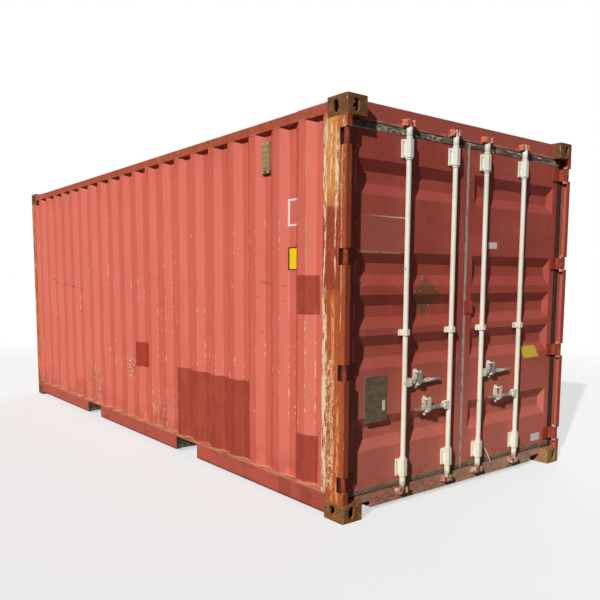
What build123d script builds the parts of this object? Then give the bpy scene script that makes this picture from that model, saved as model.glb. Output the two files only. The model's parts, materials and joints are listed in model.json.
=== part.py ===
from build123d import *
import os

# Twenty foot dry freight container, 8 ft 6 in high. Millimetres.
# X runs along the length with the doors at +X, Y across, Z up from the ground.
# Left and right are as seen by someone who faces the doors.

# Overall size
LENGTH = 6058.0
WIDTH = 2438.0
HEIGHT = 2591.0
SKIN_INSET = 3.0

# Corner castings and their apertures
CASTING_LENGTH = 178.0
CASTING_WIDTH = 162.0
CASTING_HEIGHT = 118.0
CASTING_WALL = 16.0
CASTING_PLATE = 28.5
CASTING_BACK = 12.0
CASTING_ROUND = 14.0
SLOT_LENGTH = 124.5
SLOT_WIDTH = 63.5
SLOT_FROM_END = 102.5
SLOT_FROM_SIDE = 89.5
HOLE_HEIGHT = 79.5
HOLE_WIDTH = 51.0
HOLE_LEVEL = 60.5
END_HOLE_FROM_SIDE = 73.0

# Rails
TOP_RAIL_SIZE = 60.0
TOP_RAIL_WALL = 4.0
TOP_RAIL_DROP = 26.0
BOTTOM_RAIL_FOOT = 30.0
BOTTOM_RAIL_HEIGHT = 135.0
BOTTOM_RAIL_FLANGE = 50.0
BOTTOM_RAIL_SHEET = 4.5
FRONT_SILL_DEPTH = 60.0

# Fork pockets
POCKET_SPACING = 2080.0
POCKET_WIDTH = 360.0
POCKET_PLATE = 6.0

# Floor and the members under it
FLOOR_THICKNESS = 28.0
FLOOR_GAP = 2.0
FLOOR_BOARD_COUNT = 5
CROSS_MEMBER_COUNT = 19
CROSS_MEMBER_FROM_CASTING = 151.0
CROSS_MEMBER_FLANGE = 45.0
CROSS_MEMBER_SHEET = 4.0
FLOOR_OVER_RAIL_FOOT = 122.0

# Folded side walls
SIDE_SHEET = 2.0
SIDE_FOLD_DEPTH = 36.0
SIDE_CREST_INSET = 6.0
SIDE_CREST_COUNT = 20
SIDE_FLOOR = 70.0
SIDE_SLOPE = 68.0
SIDE_END_SLOPE = 36.0

# Folded front wall
FRONT_SHEET = 2.0
FRONT_FOLD_DEPTH = 45.0
FRONT_CREST_COUNT = 8
FRONT_FLOOR = 104.0
FRONT_SLOPE = 18.0

# Roof sheet with pressed ridges
ROOF_SHEET = 2.0
ROOF_RIDGE_COUNT = 27
ROOF_RIDGE_FROM_CASTING = 134.0
ROOF_RIDGE_HEIGHT = 18.0
ROOF_RIDGE_WIDTH = 120.0
ROOF_RIDGE_SLOPE = 24.0
ROOF_MARGIN = 116.0
CORNER_PLATE_LENGTH = 300.0
CORNER_PLATE_THICKNESS = 4.0

# Front posts
FRONT_POST_FLANGE = 110.0
FRONT_POST_RETURN = 40.0

# Door posts
POST_PLATE = 6.0
POST_FLANGE = 212.0
POST_LIP = 40.0
POST_CHANNEL_WIDTH = 40.0
POST_CHANNEL_WALL = 12.0
POST_CHANNEL_FROM_END = 71.0
NOTCH_DEPTH = 63.0
NOTCH_HEIGHT = 100.0

# Door header and door sill
FRAME_FACE_FROM_END = 72.0
HEADER_DEPTH = 60.0
HEADER_DROP = 118.0
HEADER_WALL = 4.0
HEADER_UPSTAND = 20.0
STOP_LIP_DROP = 43.0
SILL_HEIGHT = 95.0
SILL_WALL = 6.0
SILL_UPSTAND = 12.0
SILL_NOTCH_WIDTH = 145.0
SILL_NOTCH_HEIGHT = 44.0
SILL_NOTCH_CORNER = 14.0

# Door leaves
LEAF_THICKNESS = 50.0
LEAF_SILL_GAP = 20.0
LEAF_HEADER_GAP = 36.0
LEAF_POST_GAP = 25.0
LEAF_CENTRE_GAP = 28.0
LEAF_STILE = 55.0
LEAF_RAIL = 100.0
PANEL_SHEET = 2.0
RECESS_DEPTH = 36.0
RECESS_SLOPE = 71.0
RECESS_END_SLOPE = 40.0
RECESS_END_LAND = 6.0
RECESS_CENTRE_SHARES = (0.1643, 0.3942, 0.5074, 0.6257, 0.8722)
RECESS_HEIGHT_SHARE = 0.0934

# Door gaskets
GASKET_OUT = 20.0
GASKET_OVER_LEAF = 30.0
GASKET_UNDER_LEAF = 14.0
GASKET_FACE_SETBACK = 2.0
GASKET_DEPTH = 38.0
CENTRE_GASKET_WIDTH = 22.0

# Hinges
HINGE_FROM_END = 26.0
HINGE_FROM_SIDE = 24.0
HINGE_COUNT = 4
HINGE_ABOVE_LEAF_FOOT = 96.0
HINGE_BELOW_LEAF_TOP = 87.0
KNUCKLE_RADIUS = 18.0
KNUCKLE_HEIGHT = 92.0
PIN_RADIUS = 11.0
PIN_CLEARANCE = 0.1
LUG_THICKNESS = 16.0
BLADE_THICKNESS = 12.0
BLADE_REACH = 70.0

# Lock rods, measured from the rod's own axis
ROD_OFFSETS = (-640.0, -175.0, 175.0, 640.0)
ROD_FROM_FACE = 27.0
ROD_RADIUS = 17.0
ROD_BOTTOM = 75.0
ROD_TOP_DROP = 63.0
CAM_HEIGHT = 48.0
CAM_WIDTH = 22.0
CAM_CORNER = 4.0
CAM_FINGER_REACH = 22.0
CAM_FINGER_THICKNESS = 14.0
CAM_FINGER_MARGIN = 4.0
KEEPER_GAP = 32.0
KEEPER_EAR = 8.0
KEEPER_DEPTH = 46.0
KEEPER_LIP_START = 13.0
KEEPER_LIP_BACK = 11.0

# Brackets that hold the rods on the doors
BRACKET_WIDTH = 92.0
BRACKET_HEIGHT = 116.0
BRACKET_PLATE = 10.0
BRACKET_HUMP_WIDTH = 50.0
BRACKET_HUMP_FRONT = 25.0
BRACKET_HUMP_CORNER = 10.0
BRACKET_CLEARANCE = 1.0
BRACKET_BELOW_LEAF_TOP = 93.0
BRACKET_ABOVE_LEAF_FOOT = 113.0
BRACKET_MIDDLE_SHARE = 0.4455
BRACKET_MIDDLE_HEIGHT = 40.0
BRACKET_MIDDLE_WIDTH = 84.0
COLLAR_RADIUS = 22.0
COLLAR_HEIGHT = 12.0
COLLAR_GAP = 0.5

# Handles and their hubs
HANDLE_LEVEL_SHARES = (0.2997, 0.2138, 0.2997, 0.2138)
HANDLE_TURNS = (1, -1, 1, -1)
CHEEK_THICKNESS = 7.0
CHEEK_HEIGHT = 58.0
CHEEK_CORNER = 12.0
RIVET_REACH = 50.0
RIVET_RADIUS = 7.0
RIVET_MARGIN = 14.0
HANDLE_LENGTH = 355.0
HANDLE_HEIGHT = 26.0
HANDLE_CORNER = 5.0
HANDLE_GRIP_LENGTH = 95.0
HANDLE_GRIP_HEIGHT = 18.0
HANDLE_THICKNESS = 12.0
HANDLE_SIDE_CLEARANCE = 1.0

# Handle retainers and their catches
RETAINER_REACHES = (130.0, 235.0, 130.0, 235.0)
RETAINER_PLATE = 6.0
RETAINER_WIDTH = 40.0
RETAINER_CORNER = 12.0
RETAINER_BELOW = 50.0
RETAINER_ABOVE = 80.0
CRADLE_WIDTH = 30.0
CRADLE_DROP = 16.0
CRADLE_SHELF = 12.0
CRADLE_LIP = 6.0
CRADLE_LIP_HEIGHT = 8.0
CRADLE_LIP_GAP = 4.0
CATCH_PIVOT_LIFT = 62.0
CATCH_PIN_RADIUS = 6.0
CATCH_THICKNESS = 5.0
CATCH_GAP = 4.0
CATCH_WIDTH = 34.0
CATCH_CORNER = 10.0
CATCH_DROP = 20.0
CATCH_SIDE_CLEARANCE = 1.0

# Seal plate on the right door
SEAL_PLATE_LOW_SHARE = 0.4908
SEAL_PLATE_HEIGHT = 95.0
SEAL_PLATE_WIDTH = 96.0
SEAL_PLATE_THICKNESS = 6.0
SEAL_PLATE_OVERLAP = 22.0

# Ventilators
VENT_TROUGH_COUNT = 2
VENT_WIDTH = 86.0
VENT_HEIGHT = 215.0
VENT_DROP = 61.0
VENT_DEPTH = 24.0
VENT_SHEET = 2.0
VENT_LOUVRE_COUNT = 5

# One overrun serves all cuts
OVERRUN = 5.0

# Places worked out from the sizes above
half_length = LENGTH / 2
half_width = WIDTH / 2
end_x = half_length - SKIN_INSET
skin_y = half_width - SKIN_INSET
casting_x = half_length - CASTING_LENGTH
casting_y = half_width - CASTING_WIDTH
casting_top = HEIGHT - CASTING_HEIGHT
rail_top = HEIGHT - TOP_RAIL_DROP
wall_top = rail_top - TOP_RAIL_SIZE
wall_foot = BOTTOM_RAIL_FOOT + BOTTOM_RAIL_HEIGHT
floor_under = BOTTOM_RAIL_FOOT + FLOOR_OVER_RAIL_FOOT
floor_top = floor_under + FLOOR_THICKNESS
pocket_top = floor_under - POCKET_PLATE
rail_web = skin_y - BOTTOM_RAIL_SHEET
crest_y = half_width - SIDE_CREST_INSET
trough_y = crest_y - SIDE_FOLD_DEPTH
post_x = end_x - POST_FLANGE
front_post_x = end_x - FRONT_POST_FLANGE
front_post_y = skin_y - FRONT_POST_FLANGE
channel_front = half_length - POST_CHANNEL_FROM_END
opening_y = skin_y - POST_PLATE - POST_CHANNEL_WIDTH
face_x = half_length - FRAME_FACE_FROM_END
leaf_back = face_x - LEAF_THICKNESS
frame_back = face_x - HEADER_DEPTH
header_foot = HEIGHT - HEADER_DROP
sill_top = BOTTOM_RAIL_FOOT + SILL_HEIGHT
leaf_foot = sill_top + LEAF_SILL_GAP
leaf_top = header_foot - LEAF_HEADER_GAP
leaf_outer = opening_y - LEAF_POST_GAP
leaf_inner = LEAF_CENTRE_GAP / 2
hinge_x = half_length - HINGE_FROM_END
hinge_y = half_width - HINGE_FROM_SIDE
leaf_height = leaf_top - leaf_foot
hinge_span = leaf_height - HINGE_ABOVE_LEAF_FOOT - HINGE_BELOW_LEAF_TOP
hinge_spacing = hinge_span / (HINGE_COUNT - 1)
hinge_levels = [leaf_foot + HINGE_ABOVE_LEAF_FOOT + hinge_spacing * step for step in range(HINGE_COUNT)]
bracket_high = leaf_top - BRACKET_BELOW_LEAF_TOP
bracket_low = leaf_foot + BRACKET_ABOVE_LEAF_FOOT
bracket_middle = leaf_foot + BRACKET_MIDDLE_SHARE * leaf_height
handle_levels = [leaf_foot + share * leaf_height for share in HANDLE_LEVEL_SHARES]
rod_x = face_x + ROD_FROM_FACE
rod_top = HEIGHT - ROD_TOP_DROP
handle_back = rod_x - HANDLE_THICKNESS / 2
handle_front = rod_x + HANDLE_THICKNESS / 2
side_fold_length = post_x + front_post_x
side_pitch = (side_fold_length - 2 * SIDE_END_SLOPE - SIDE_FLOOR) / SIDE_CREST_COUNT
side_crest = side_pitch - 2 * SIDE_SLOPE - SIDE_FLOOR


def block(x0, x1, y0, y1, z0, z1):
    """A box between two corners, given in any order."""
    middle = Pos((x0 + x1) / 2, (y0 + y1) / 2, (z0 + z1) / 2)
    return middle * Box(abs(x1 - x0), abs(y1 - y0), abs(z1 - z0))


def prism_x(points, x0, x1):
    """An outline in Y and Z, drawn out along X."""
    outline = make_face(Polyline(*points, close=True))
    return Pos(min(x0, x1), 0, 0) * extrude(Plane.YZ * outline, abs(x1 - x0))


def prism_y(points, y0, y1):
    """An outline in X and Z, drawn out along Y."""
    outline = make_face(Polyline(*points, close=True))
    return Pos(0, min(y0, y1), 0) * extrude(Plane.XZ * outline, -abs(y1 - y0))


def prism_z(points, z0, z1):
    """An outline in X and Y, drawn out along Z."""
    outline = make_face(Polyline(*points, close=True))
    return Pos(0, 0, min(z0, z1)) * extrude(outline, abs(z1 - z0))


def upright_rod(x, y, radius, z0, z1):
    """A round bar that stands along Z."""
    return Pos(x, y, (z0 + z1) / 2) * Cylinder(radius, abs(z1 - z0))


def level_rod(y, z, radius, x0, x1):
    """A round bar that lies along X."""
    return Pos((x0 + x1) / 2, y, z) * Rot(0, 90, 0) * Cylinder(radius, abs(x1 - x0))


def fold_line(start, folds, end_slope, floor, slope, crest):
    """Points along a folded sheet: distance, and 1 on a crest or 0 in a trough."""
    points = [(start, 1), (start + end_slope, 0)]
    at = start + end_slope + floor
    points.append((at, 0))
    for _ in folds:
        points.append((at + slope, 1))
        points.append((at + slope + crest, 1))
        points.append((at + 2 * slope + crest, 0))
        at += 2 * slope + crest + floor
        points.append((at, 0))
    points.append((at + end_slope, 1))
    return points


def clipped(left, right, low, high, corner):
    """The outline of a rectangle with its corners cut off."""
    return [
        (left + corner, low),
        (right - corner, low),
        (right, low + corner),
        (right, high - corner),
        (right - corner, high),
        (left + corner, high),
        (left, high - corner),
        (left, low + corner),
    ]


def trapezoid(length, slope, height):
    """A low outline with sloping ends, as a face."""
    half = length / 2
    crown = half - slope
    return make_face(Polyline((-half, 0), (half, 0), (crown, height), (-crown, height), close=True))


def pressing(plane, length, width, end_slope, side_slope, height):
    """The form that a press leaves in a sheet: a low block with sloping sides."""
    lengthwise = extrude(Plane.XZ * trapezoid(length, end_slope, height), width / 2, both=True)
    crosswise = extrude(Plane.YZ * trapezoid(width, side_slope, height), length / 2, both=True)
    return plane * (lengthwise & crosswise)


def corner_casting():
    """A hollow casting with a slot above or below and a hole in each outer side."""
    body = block(casting_x, half_length, casting_y, half_width, 0, CASTING_HEIGHT)
    upright = body.edges().filter_by(Axis.Z).sort_by_distance((half_length, half_width, 0))[0]
    body = fillet(upright, CASTING_ROUND)
    hollow = block(
        casting_x + CASTING_BACK,
        half_length - CASTING_WALL,
        casting_y + CASTING_BACK,
        half_width - CASTING_WALL,
        CASTING_PLATE,
        CASTING_HEIGHT - CASTING_BACK,
    )
    slot_x = half_length - SLOT_FROM_END
    slot_y = half_width - SLOT_FROM_SIDE
    hole_y = half_width - END_HOLE_FROM_SIDE
    slot = Pos(slot_x, slot_y, 0) * SlotOverall(SLOT_LENGTH, SLOT_WIDTH)
    side_plane = Plane(origin=(slot_x, half_width, HOLE_LEVEL), x_dir=(0, 0, 1), z_dir=(0, 1, 0))
    end_plane = Plane(origin=(half_length, hole_y, HOLE_LEVEL), x_dir=(0, 0, 1), z_dir=(1, 0, 0))
    hole = SlotOverall(HOLE_HEIGHT, HOLE_WIDTH)
    body -= hollow
    body -= extrude(slot, CASTING_PLATE + OVERRUN, both=True)
    body -= extrude(side_plane * hole, CASTING_WALL + OVERRUN, both=True)
    body -= extrude(end_plane * hole, CASTING_WALL + OVERRUN, both=True)
    return body


def corner_castings(end):
    """The four castings at one end."""
    lower_right = corner_casting()
    if end < 0:
        lower_right = mirror(lower_right, about=Plane.YZ)
    lower = [mirror(lower_right, about=Plane.XZ), lower_right]
    upper = [mirror(casting, about=Plane.XY.offset(HEIGHT / 2)) for casting in lower]
    return Compound(lower + upper)


def rear_post(side):
    """Door post: outer plate with an end lip, notched for the hinges, and an inner channel."""
    outline = [
        (post_x, wall_foot),
        (casting_x, wall_foot),
        (casting_x, CASTING_HEIGHT),
        (end_x, CASTING_HEIGHT),
        (end_x, casting_top),
        (casting_x, casting_top),
        (casting_x, wall_top),
        (post_x, wall_top),
    ]
    plate_y = skin_y - POST_PLATE
    post = prism_y(outline, side * plate_y, side * skin_y)
    lip_y = skin_y - POST_LIP
    post += block(end_x - POST_PLATE, end_x, side * lip_y, side * skin_y, CASTING_HEIGHT, casting_top)
    post += block(casting_x, channel_front, side * opening_y, side * plate_y, CASTING_HEIGHT, casting_top)
    post -= block(
        casting_x + POST_CHANNEL_WALL,
        channel_front - POST_CHANNEL_WALL,
        side * (opening_y + POST_CHANNEL_WALL),
        side * plate_y,
        CASTING_HEIGHT,
        casting_top,
    )
    for level in hinge_levels:
        low = level - NOTCH_HEIGHT / 2
        high = level + NOTCH_HEIGHT / 2
        notch_x = half_length - NOTCH_DEPTH - SKIN_INSET
        post -= block(notch_x, half_length, side * (lip_y - OVERRUN), side * half_width, low, high)
    return post


def hinge_lugs(side):
    """Four pins, each held by a lug above and a lug below its notch."""
    solids = []
    for level in hinge_levels:
        low = level - NOTCH_HEIGHT / 2
        high = level + NOTCH_HEIGHT / 2
        pin = upright_rod(hinge_x, side * hinge_y, PIN_RADIUS, low - LUG_THICKNESS, high + LUG_THICKNESS)
        lug_back = hinge_x - KNUCKLE_RADIUS
        lug_front = end_x - POST_PLATE
        lug_inner = side * (hinge_y - KNUCKLE_RADIUS)
        lug_outer = side * (skin_y - POST_PLATE)
        pin += block(lug_back, lug_front, lug_inner, lug_outer, high, high + LUG_THICKNESS)
        pin += block(lug_back, lug_front, lug_inner, lug_outer, low - LUG_THICKNESS, low)
        solids.append(pin)
    return Compound(solids)


def front_post(side):
    """Folded front post with a foot over the casting and a return along each wall."""
    side_outline = [
        (-end_x, CASTING_HEIGHT),
        (-casting_x, CASTING_HEIGHT),
        (-casting_x, wall_foot),
        (-front_post_x, wall_foot),
        (-front_post_x, casting_top),
        (-end_x, casting_top),
    ]
    end_outline = [
        (side * skin_y, CASTING_HEIGHT),
        (side * casting_y, CASTING_HEIGHT),
        (side * casting_y, wall_foot),
        (side * front_post_y, wall_foot),
        (side * front_post_y, casting_top),
        (side * skin_y, casting_top),
    ]
    plate_y = skin_y - POST_PLATE
    plate_x = end_x - POST_PLATE
    post = prism_y(side_outline, side * plate_y, side * skin_y)
    post += prism_x(end_outline, -end_x, -plate_x)
    post += block(
        -front_post_x - POST_PLATE,
        -front_post_x,
        side * (plate_y - FRONT_POST_RETURN),
        side * plate_y,
        CASTING_HEIGHT,
        casting_top,
    )
    post += block(
        -plate_x,
        -plate_x + FRONT_POST_RETURN,
        side * front_post_y,
        side * (front_post_y + POST_PLATE),
        CASTING_HEIGHT,
        casting_top,
    )
    return post


def top_rail(side):
    """Square tube along the roof's edge."""
    outer = side * skin_y
    inner = side * (skin_y - TOP_RAIL_SIZE)
    rail = block(-casting_x, casting_x, inner, outer, wall_top, rail_top)
    rail -= block(
        -casting_x,
        casting_x,
        side * (skin_y - TOP_RAIL_SIZE + TOP_RAIL_WALL),
        side * (skin_y - TOP_RAIL_WALL),
        wall_top + TOP_RAIL_WALL,
        rail_top - TOP_RAIL_WALL,
    )
    return rail


def bottom_rail(side):
    """Channel along the floor's edge, cut away at the two fork pockets."""
    inner = skin_y - BOTTOM_RAIL_FLANGE
    rail = block(-casting_x, casting_x, side * inner, side * skin_y, BOTTOM_RAIL_FOOT, wall_foot)
    rail -= block(
        -casting_x,
        casting_x,
        side * inner,
        side * rail_web,
        BOTTOM_RAIL_FOOT + BOTTOM_RAIL_SHEET,
        wall_foot - BOTTOM_RAIL_SHEET,
    )
    for centre in (-POCKET_SPACING / 2, POCKET_SPACING / 2):
        rail -= block(
            centre - POCKET_WIDTH / 2,
            centre + POCKET_WIDTH / 2,
            side * (inner - OVERRUN),
            side * half_width,
            0,
            pocket_top,
        )
    return rail


def side_wall(side):
    """Steel sheet with upright folds between the rails."""
    folds = range(SIDE_CREST_COUNT)
    line = fold_line(-front_post_x, folds, SIDE_END_SLOPE, SIDE_FLOOR, SIDE_SLOPE, side_crest)
    outer = [(x, side * (trough_y + SIDE_FOLD_DEPTH * level)) for x, level in line]
    inner = [(x, y - side * SIDE_SHEET) for x, y in reversed(outer)]
    wall = prism_z(outer + inner, wall_foot, wall_top)
    return wall - block(-half_length, -casting_x, side * casting_y, side * half_width, casting_top, HEIGHT)


def front_wall():
    """Steel sheet with upright folds between the front posts."""
    pitch = (2 * front_post_y - 2 * FRONT_SLOPE - FRONT_FLOOR) / FRONT_CREST_COUNT
    crest = pitch - 2 * FRONT_SLOPE - FRONT_FLOOR
    folds = range(FRONT_CREST_COUNT)
    line = fold_line(-front_post_y, folds, FRONT_SLOPE, FRONT_FLOOR, FRONT_SLOPE, crest)
    trough = end_x - SKIN_INSET - FRONT_FOLD_DEPTH
    outer = [(-trough - FRONT_FOLD_DEPTH * level, y) for y, level in line]
    inner = [(x + FRONT_SHEET, y) for x, y in reversed(outer)]
    wall = prism_z(outer + inner, wall_foot, wall_top)
    for side in (-1, 1):
        wall -= block(-half_length, -casting_x, side * casting_y, side * half_width, casting_top, HEIGHT)
    return wall


def front_top_rail():
    """Square tube over the front wall, between the castings."""
    rail = block(-end_x, -end_x + TOP_RAIL_SIZE, -casting_y, casting_y, wall_top, rail_top)
    return rail - block(
        -end_x + TOP_RAIL_WALL,
        -end_x + TOP_RAIL_SIZE - TOP_RAIL_WALL,
        -casting_y,
        casting_y,
        wall_top + TOP_RAIL_WALL,
        rail_top - TOP_RAIL_WALL,
    )


def front_sill():
    """Channel under the front wall, open towards the floor."""
    sill = block(-end_x, -end_x + FRONT_SILL_DEPTH, -casting_y, casting_y, BOTTOM_RAIL_FOOT, wall_foot)
    return sill - block(
        -end_x + BOTTOM_RAIL_SHEET,
        -end_x + FRONT_SILL_DEPTH,
        -casting_y,
        casting_y,
        BOTTOM_RAIL_FOOT + BOTTOM_RAIL_SHEET,
        wall_foot - BOTTOM_RAIL_SHEET,
    )


def roof_panel():
    """Roof sheet from casting to casting, with ridges pressed across it."""
    sheet_top = rail_top + ROOF_SHEET
    roof = block(-casting_x, casting_x, -skin_y, skin_y, rail_top, sheet_top)
    ridge_length = 2 * (skin_y - ROOF_MARGIN)
    first = ROOF_RIDGE_FROM_CASTING - casting_x
    pitch = -2 * first / (ROOF_RIDGE_COUNT - 1)
    outside = []
    inside = []
    for number in range(ROOF_RIDGE_COUNT):
        place = (first + pitch * number, 0, sheet_top)
        upper = Plane(origin=place, x_dir=(0, 1, 0), z_dir=(0, 0, 1))
        sizes = (ridge_length, ROOF_RIDGE_WIDTH, ROOF_RIDGE_SLOPE, ROOF_RIDGE_SLOPE, ROOF_RIDGE_HEIGHT)
        outside.append(pressing(upper, *sizes))
        inside.append(pressing(upper.offset(-ROOF_SHEET), *sizes))
    roof += outside
    roof -= inside
    return roof


def roof_corner_plates():
    """Plates that take the knocks beside the upper castings, and the strips between them."""
    sheet_top = rail_top + ROOF_SHEET
    plates = [
        block(-casting_x, -end_x, -casting_y, casting_y, rail_top, sheet_top),
        block(casting_x, face_x - HEADER_WALL, -casting_y, casting_y, rail_top, sheet_top),
    ]
    for end in (-1, 1):
        for side in (-1, 1):
            inner = skin_y - ROOF_MARGIN
            high = sheet_top + CORNER_PLATE_THICKNESS
            long_x = end * (casting_x - CORNER_PLATE_LENGTH)
            plates.append(block(end * casting_x, long_x, side * inner, side * skin_y, sheet_top, high))
    return Compound(plates)


def floor_boards():
    """Plywood sheets on the cross members."""
    front = -end_x + FRONT_SILL_DEPTH
    back = frame_back - SILL_UPSTAND
    length = (back - front - FLOOR_GAP * (FLOOR_BOARD_COUNT - 1)) / FLOOR_BOARD_COUNT
    edge = skin_y - BOTTOM_RAIL_FLANGE
    boards = []
    for number in range(FLOOR_BOARD_COUNT):
        start = front + number * (length + FLOOR_GAP)
        boards.append(block(start, start + length, -edge, edge, floor_under, floor_top))
    return Compound(boards)


def cross_members():
    """Channels from rail to rail, left out where the fork pockets are."""
    members = []
    first = CROSS_MEMBER_FROM_CASTING - casting_x
    spacing = -2 * first / (CROSS_MEMBER_COUNT - 1)
    keep_off = POCKET_WIDTH / 2 + POCKET_PLATE + CROSS_MEMBER_FLANGE
    low = BOTTOM_RAIL_FOOT + BOTTOM_RAIL_SHEET
    for number in range(CROSS_MEMBER_COUNT):
        x = first + spacing * number
        if abs(abs(x) - POCKET_SPACING / 2) < keep_off:
            continue
        member = block(x, x + CROSS_MEMBER_FLANGE, -rail_web, rail_web, low, floor_under)
        member -= block(
            x + CROSS_MEMBER_SHEET,
            x + CROSS_MEMBER_FLANGE,
            -rail_web,
            rail_web,
            low + CROSS_MEMBER_SHEET,
            floor_under - CROSS_MEMBER_SHEET,
        )
        members.append(member)
    return Compound(members)


def fork_pockets():
    """Two tunnels across the floor, each a top plate with a web on either side."""
    pockets = []
    low = BOTTOM_RAIL_FOOT + BOTTOM_RAIL_SHEET
    for centre in (-POCKET_SPACING / 2, POCKET_SPACING / 2):
        outer = POCKET_WIDTH / 2 + POCKET_PLATE
        inner = POCKET_WIDTH / 2
        pocket = block(centre - outer, centre + outer, -rail_web, rail_web, low, floor_under)
        pocket -= block(centre - inner, centre + inner, -rail_web, rail_web, low, pocket_top)
        pockets.append(pocket)
    return Compound(pockets)


def door_header():
    """Box beam over the doors with a rain upstand and a stop lip behind the leaves."""
    header = block(frame_back, face_x, -casting_y, casting_y, header_foot, rail_top)
    header -= block(
        frame_back + HEADER_WALL,
        face_x - HEADER_WALL,
        -casting_y,
        casting_y,
        header_foot + HEADER_WALL,
        rail_top - HEADER_WALL,
    )
    upstand_top = rail_top + HEADER_UPSTAND
    header += block(face_x - HEADER_WALL, face_x, -casting_y, casting_y, rail_top, upstand_top)
    lip_foot = header_foot - STOP_LIP_DROP
    header += block(frame_back, frame_back + HEADER_WALL, -casting_y, casting_y, lip_foot, header_foot)
    return header


def door_sill():
    """Box beam under the doors with a threshold behind the leaves, notched from below at both ends."""
    threshold = frame_back - SILL_UPSTAND
    sill = block(threshold, face_x, -casting_y, casting_y, BOTTOM_RAIL_FOOT, sill_top)
    sill += block(threshold, frame_back, -opening_y, opening_y, CASTING_HEIGHT, floor_top)
    sill -= block(
        threshold + SILL_WALL,
        face_x - SILL_WALL,
        -casting_y,
        casting_y,
        BOTTOM_RAIL_FOOT + SILL_WALL,
        sill_top - SILL_WALL,
    )
    notch_y = casting_y - SILL_NOTCH_WIDTH
    notch_top = BOTTOM_RAIL_FOOT + SILL_NOTCH_HEIGHT
    for side in (-1, 1):
        outline = [
            (side * notch_y, BOTTOM_RAIL_FOOT - OVERRUN),
            (side * notch_y, notch_top - SILL_NOTCH_CORNER),
            (side * (notch_y + SILL_NOTCH_CORNER), notch_top),
            (side * casting_y, notch_top),
            (side * casting_y, BOTTOM_RAIL_FOOT - OVERRUN),
        ]
        sill -= prism_x(outline, threshold + SILL_WALL, half_length)
    return sill


def cam_keepers():
    """Prongs on header and sill; the lip on one side holds the cam's finger."""
    keepers = []
    back = rod_x - ROD_FROM_FACE
    front = back + KEEPER_DEPTH
    outer = KEEPER_GAP + KEEPER_EAR
    for rod_y, turn in zip(ROD_OFFSETS, HANDLE_TURNS):
        for low in (rod_top - CAM_HEIGHT, ROD_BOTTOM):
            foot = low + CAM_FINGER_MARGIN
            head = low + CAM_HEIGHT - CAM_FINGER_MARGIN
            hooked = block(back, front, rod_y - turn * KEEPER_GAP, rod_y - turn * outer, foot, head)
            lip_y = rod_y - turn * KEEPER_LIP_START
            hooked += block(rod_x + KEEPER_LIP_BACK, front, lip_y, rod_y - turn * outer, foot, head)
            plain = block(back, front, rod_y + turn * KEEPER_GAP, rod_y + turn * outer, foot, head)
            keepers.append(hooked)
            keepers.append(plain)
    return Compound(keepers)


def door_frame(side):
    """Rectangular frame of one leaf."""
    frame = block(leaf_back, face_x, side * leaf_inner, side * leaf_outer, leaf_foot, leaf_top)
    return frame - block(
        leaf_back,
        face_x,
        side * (leaf_inner + LEAF_STILE),
        side * (leaf_outer - LEAF_STILE),
        leaf_foot + LEAF_RAIL,
        leaf_top - LEAF_RAIL,
    )


def door_panel(side):
    """Sheet inside the frame with five level recesses pressed inwards."""
    inner = leaf_inner + LEAF_STILE
    outer = leaf_outer - LEAF_STILE
    foot = leaf_foot + LEAF_RAIL
    head = leaf_top - LEAF_RAIL
    panel = block(face_x - PANEL_SHEET, face_x, side * inner, side * outer, foot, head)
    recess_length = outer - inner - 2 * RECESS_END_LAND
    middle_y = side * (inner + outer) / 2
    recess_height = RECESS_HEIGHT_SHARE * leaf_height
    backs = []
    fronts = []
    for share in RECESS_CENTRE_SHARES:
        level = leaf_foot + share * leaf_height
        face = Plane(origin=(face_x, middle_y, level), x_dir=(0, 1, 0), z_dir=(-1, 0, 0))
        sizes = (recess_length, recess_height, RECESS_END_SLOPE, RECESS_SLOPE, RECESS_DEPTH)
        fronts.append(pressing(face, *sizes))
        backs.append(pressing(face.offset(PANEL_SHEET), *sizes))
    panel += backs
    panel -= fronts
    return panel


def door_gasket(side):
    """Rubber seal round the leaf; the right leaf carries the one between the leaves."""
    front = face_x - GASKET_FACE_SETBACK
    back = front - GASKET_DEPTH
    outer = leaf_outer + GASKET_OUT
    low = leaf_foot - GASKET_UNDER_LEAF
    high = leaf_top + GASKET_OVER_LEAF
    seal = block(back, front, side * leaf_inner, side * outer, low, high)
    if side > 0:
        centre = leaf_inner - CENTRE_GASKET_WIDTH
        seal += block(back, front, centre, leaf_inner, low, high)
    return seal - block(back, front, side * leaf_inner, side * leaf_outer, leaf_foot, leaf_top)


def hinge_blades(side):
    """Knuckle on each pin and the cranked blade that carries the leaf."""
    axis = Vector(hinge_x, hinge_y, 0)
    run = Vector(hinge_x - face_x, hinge_y - leaf_outer, 0).normalized()
    across = Vector(run.Y, -run.X, 0) * (BLADE_THICKNESS / 2)
    rear = axis - across
    front = axis + across
    strap_x = face_x + BLADE_THICKNESS
    strap_y = leaf_outer - BLADE_REACH
    slope = run.Y / run.X
    outline = [
        (face_x, strap_y),
        (face_x, rear.Y - slope * (rear.X - face_x)),
        (rear.X, rear.Y),
        (front.X, front.Y),
        (strap_x, front.Y - slope * (front.X - strap_x)),
        (strap_x, strap_y),
    ]
    blades = []
    for level in hinge_levels:
        low = level - KNUCKLE_HEIGHT / 2
        high = level + KNUCKLE_HEIGHT / 2
        blade = prism_z(outline, low, high)
        blade += upright_rod(hinge_x, hinge_y, KNUCKLE_RADIUS, low, high)
        blade -= upright_rod(hinge_x, hinge_y, PIN_RADIUS + PIN_CLEARANCE, low, high)
        if side < 0:
            blade = mirror(blade, about=Plane.XZ)
        blades.append(blade)
    return Compound(blades)


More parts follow.
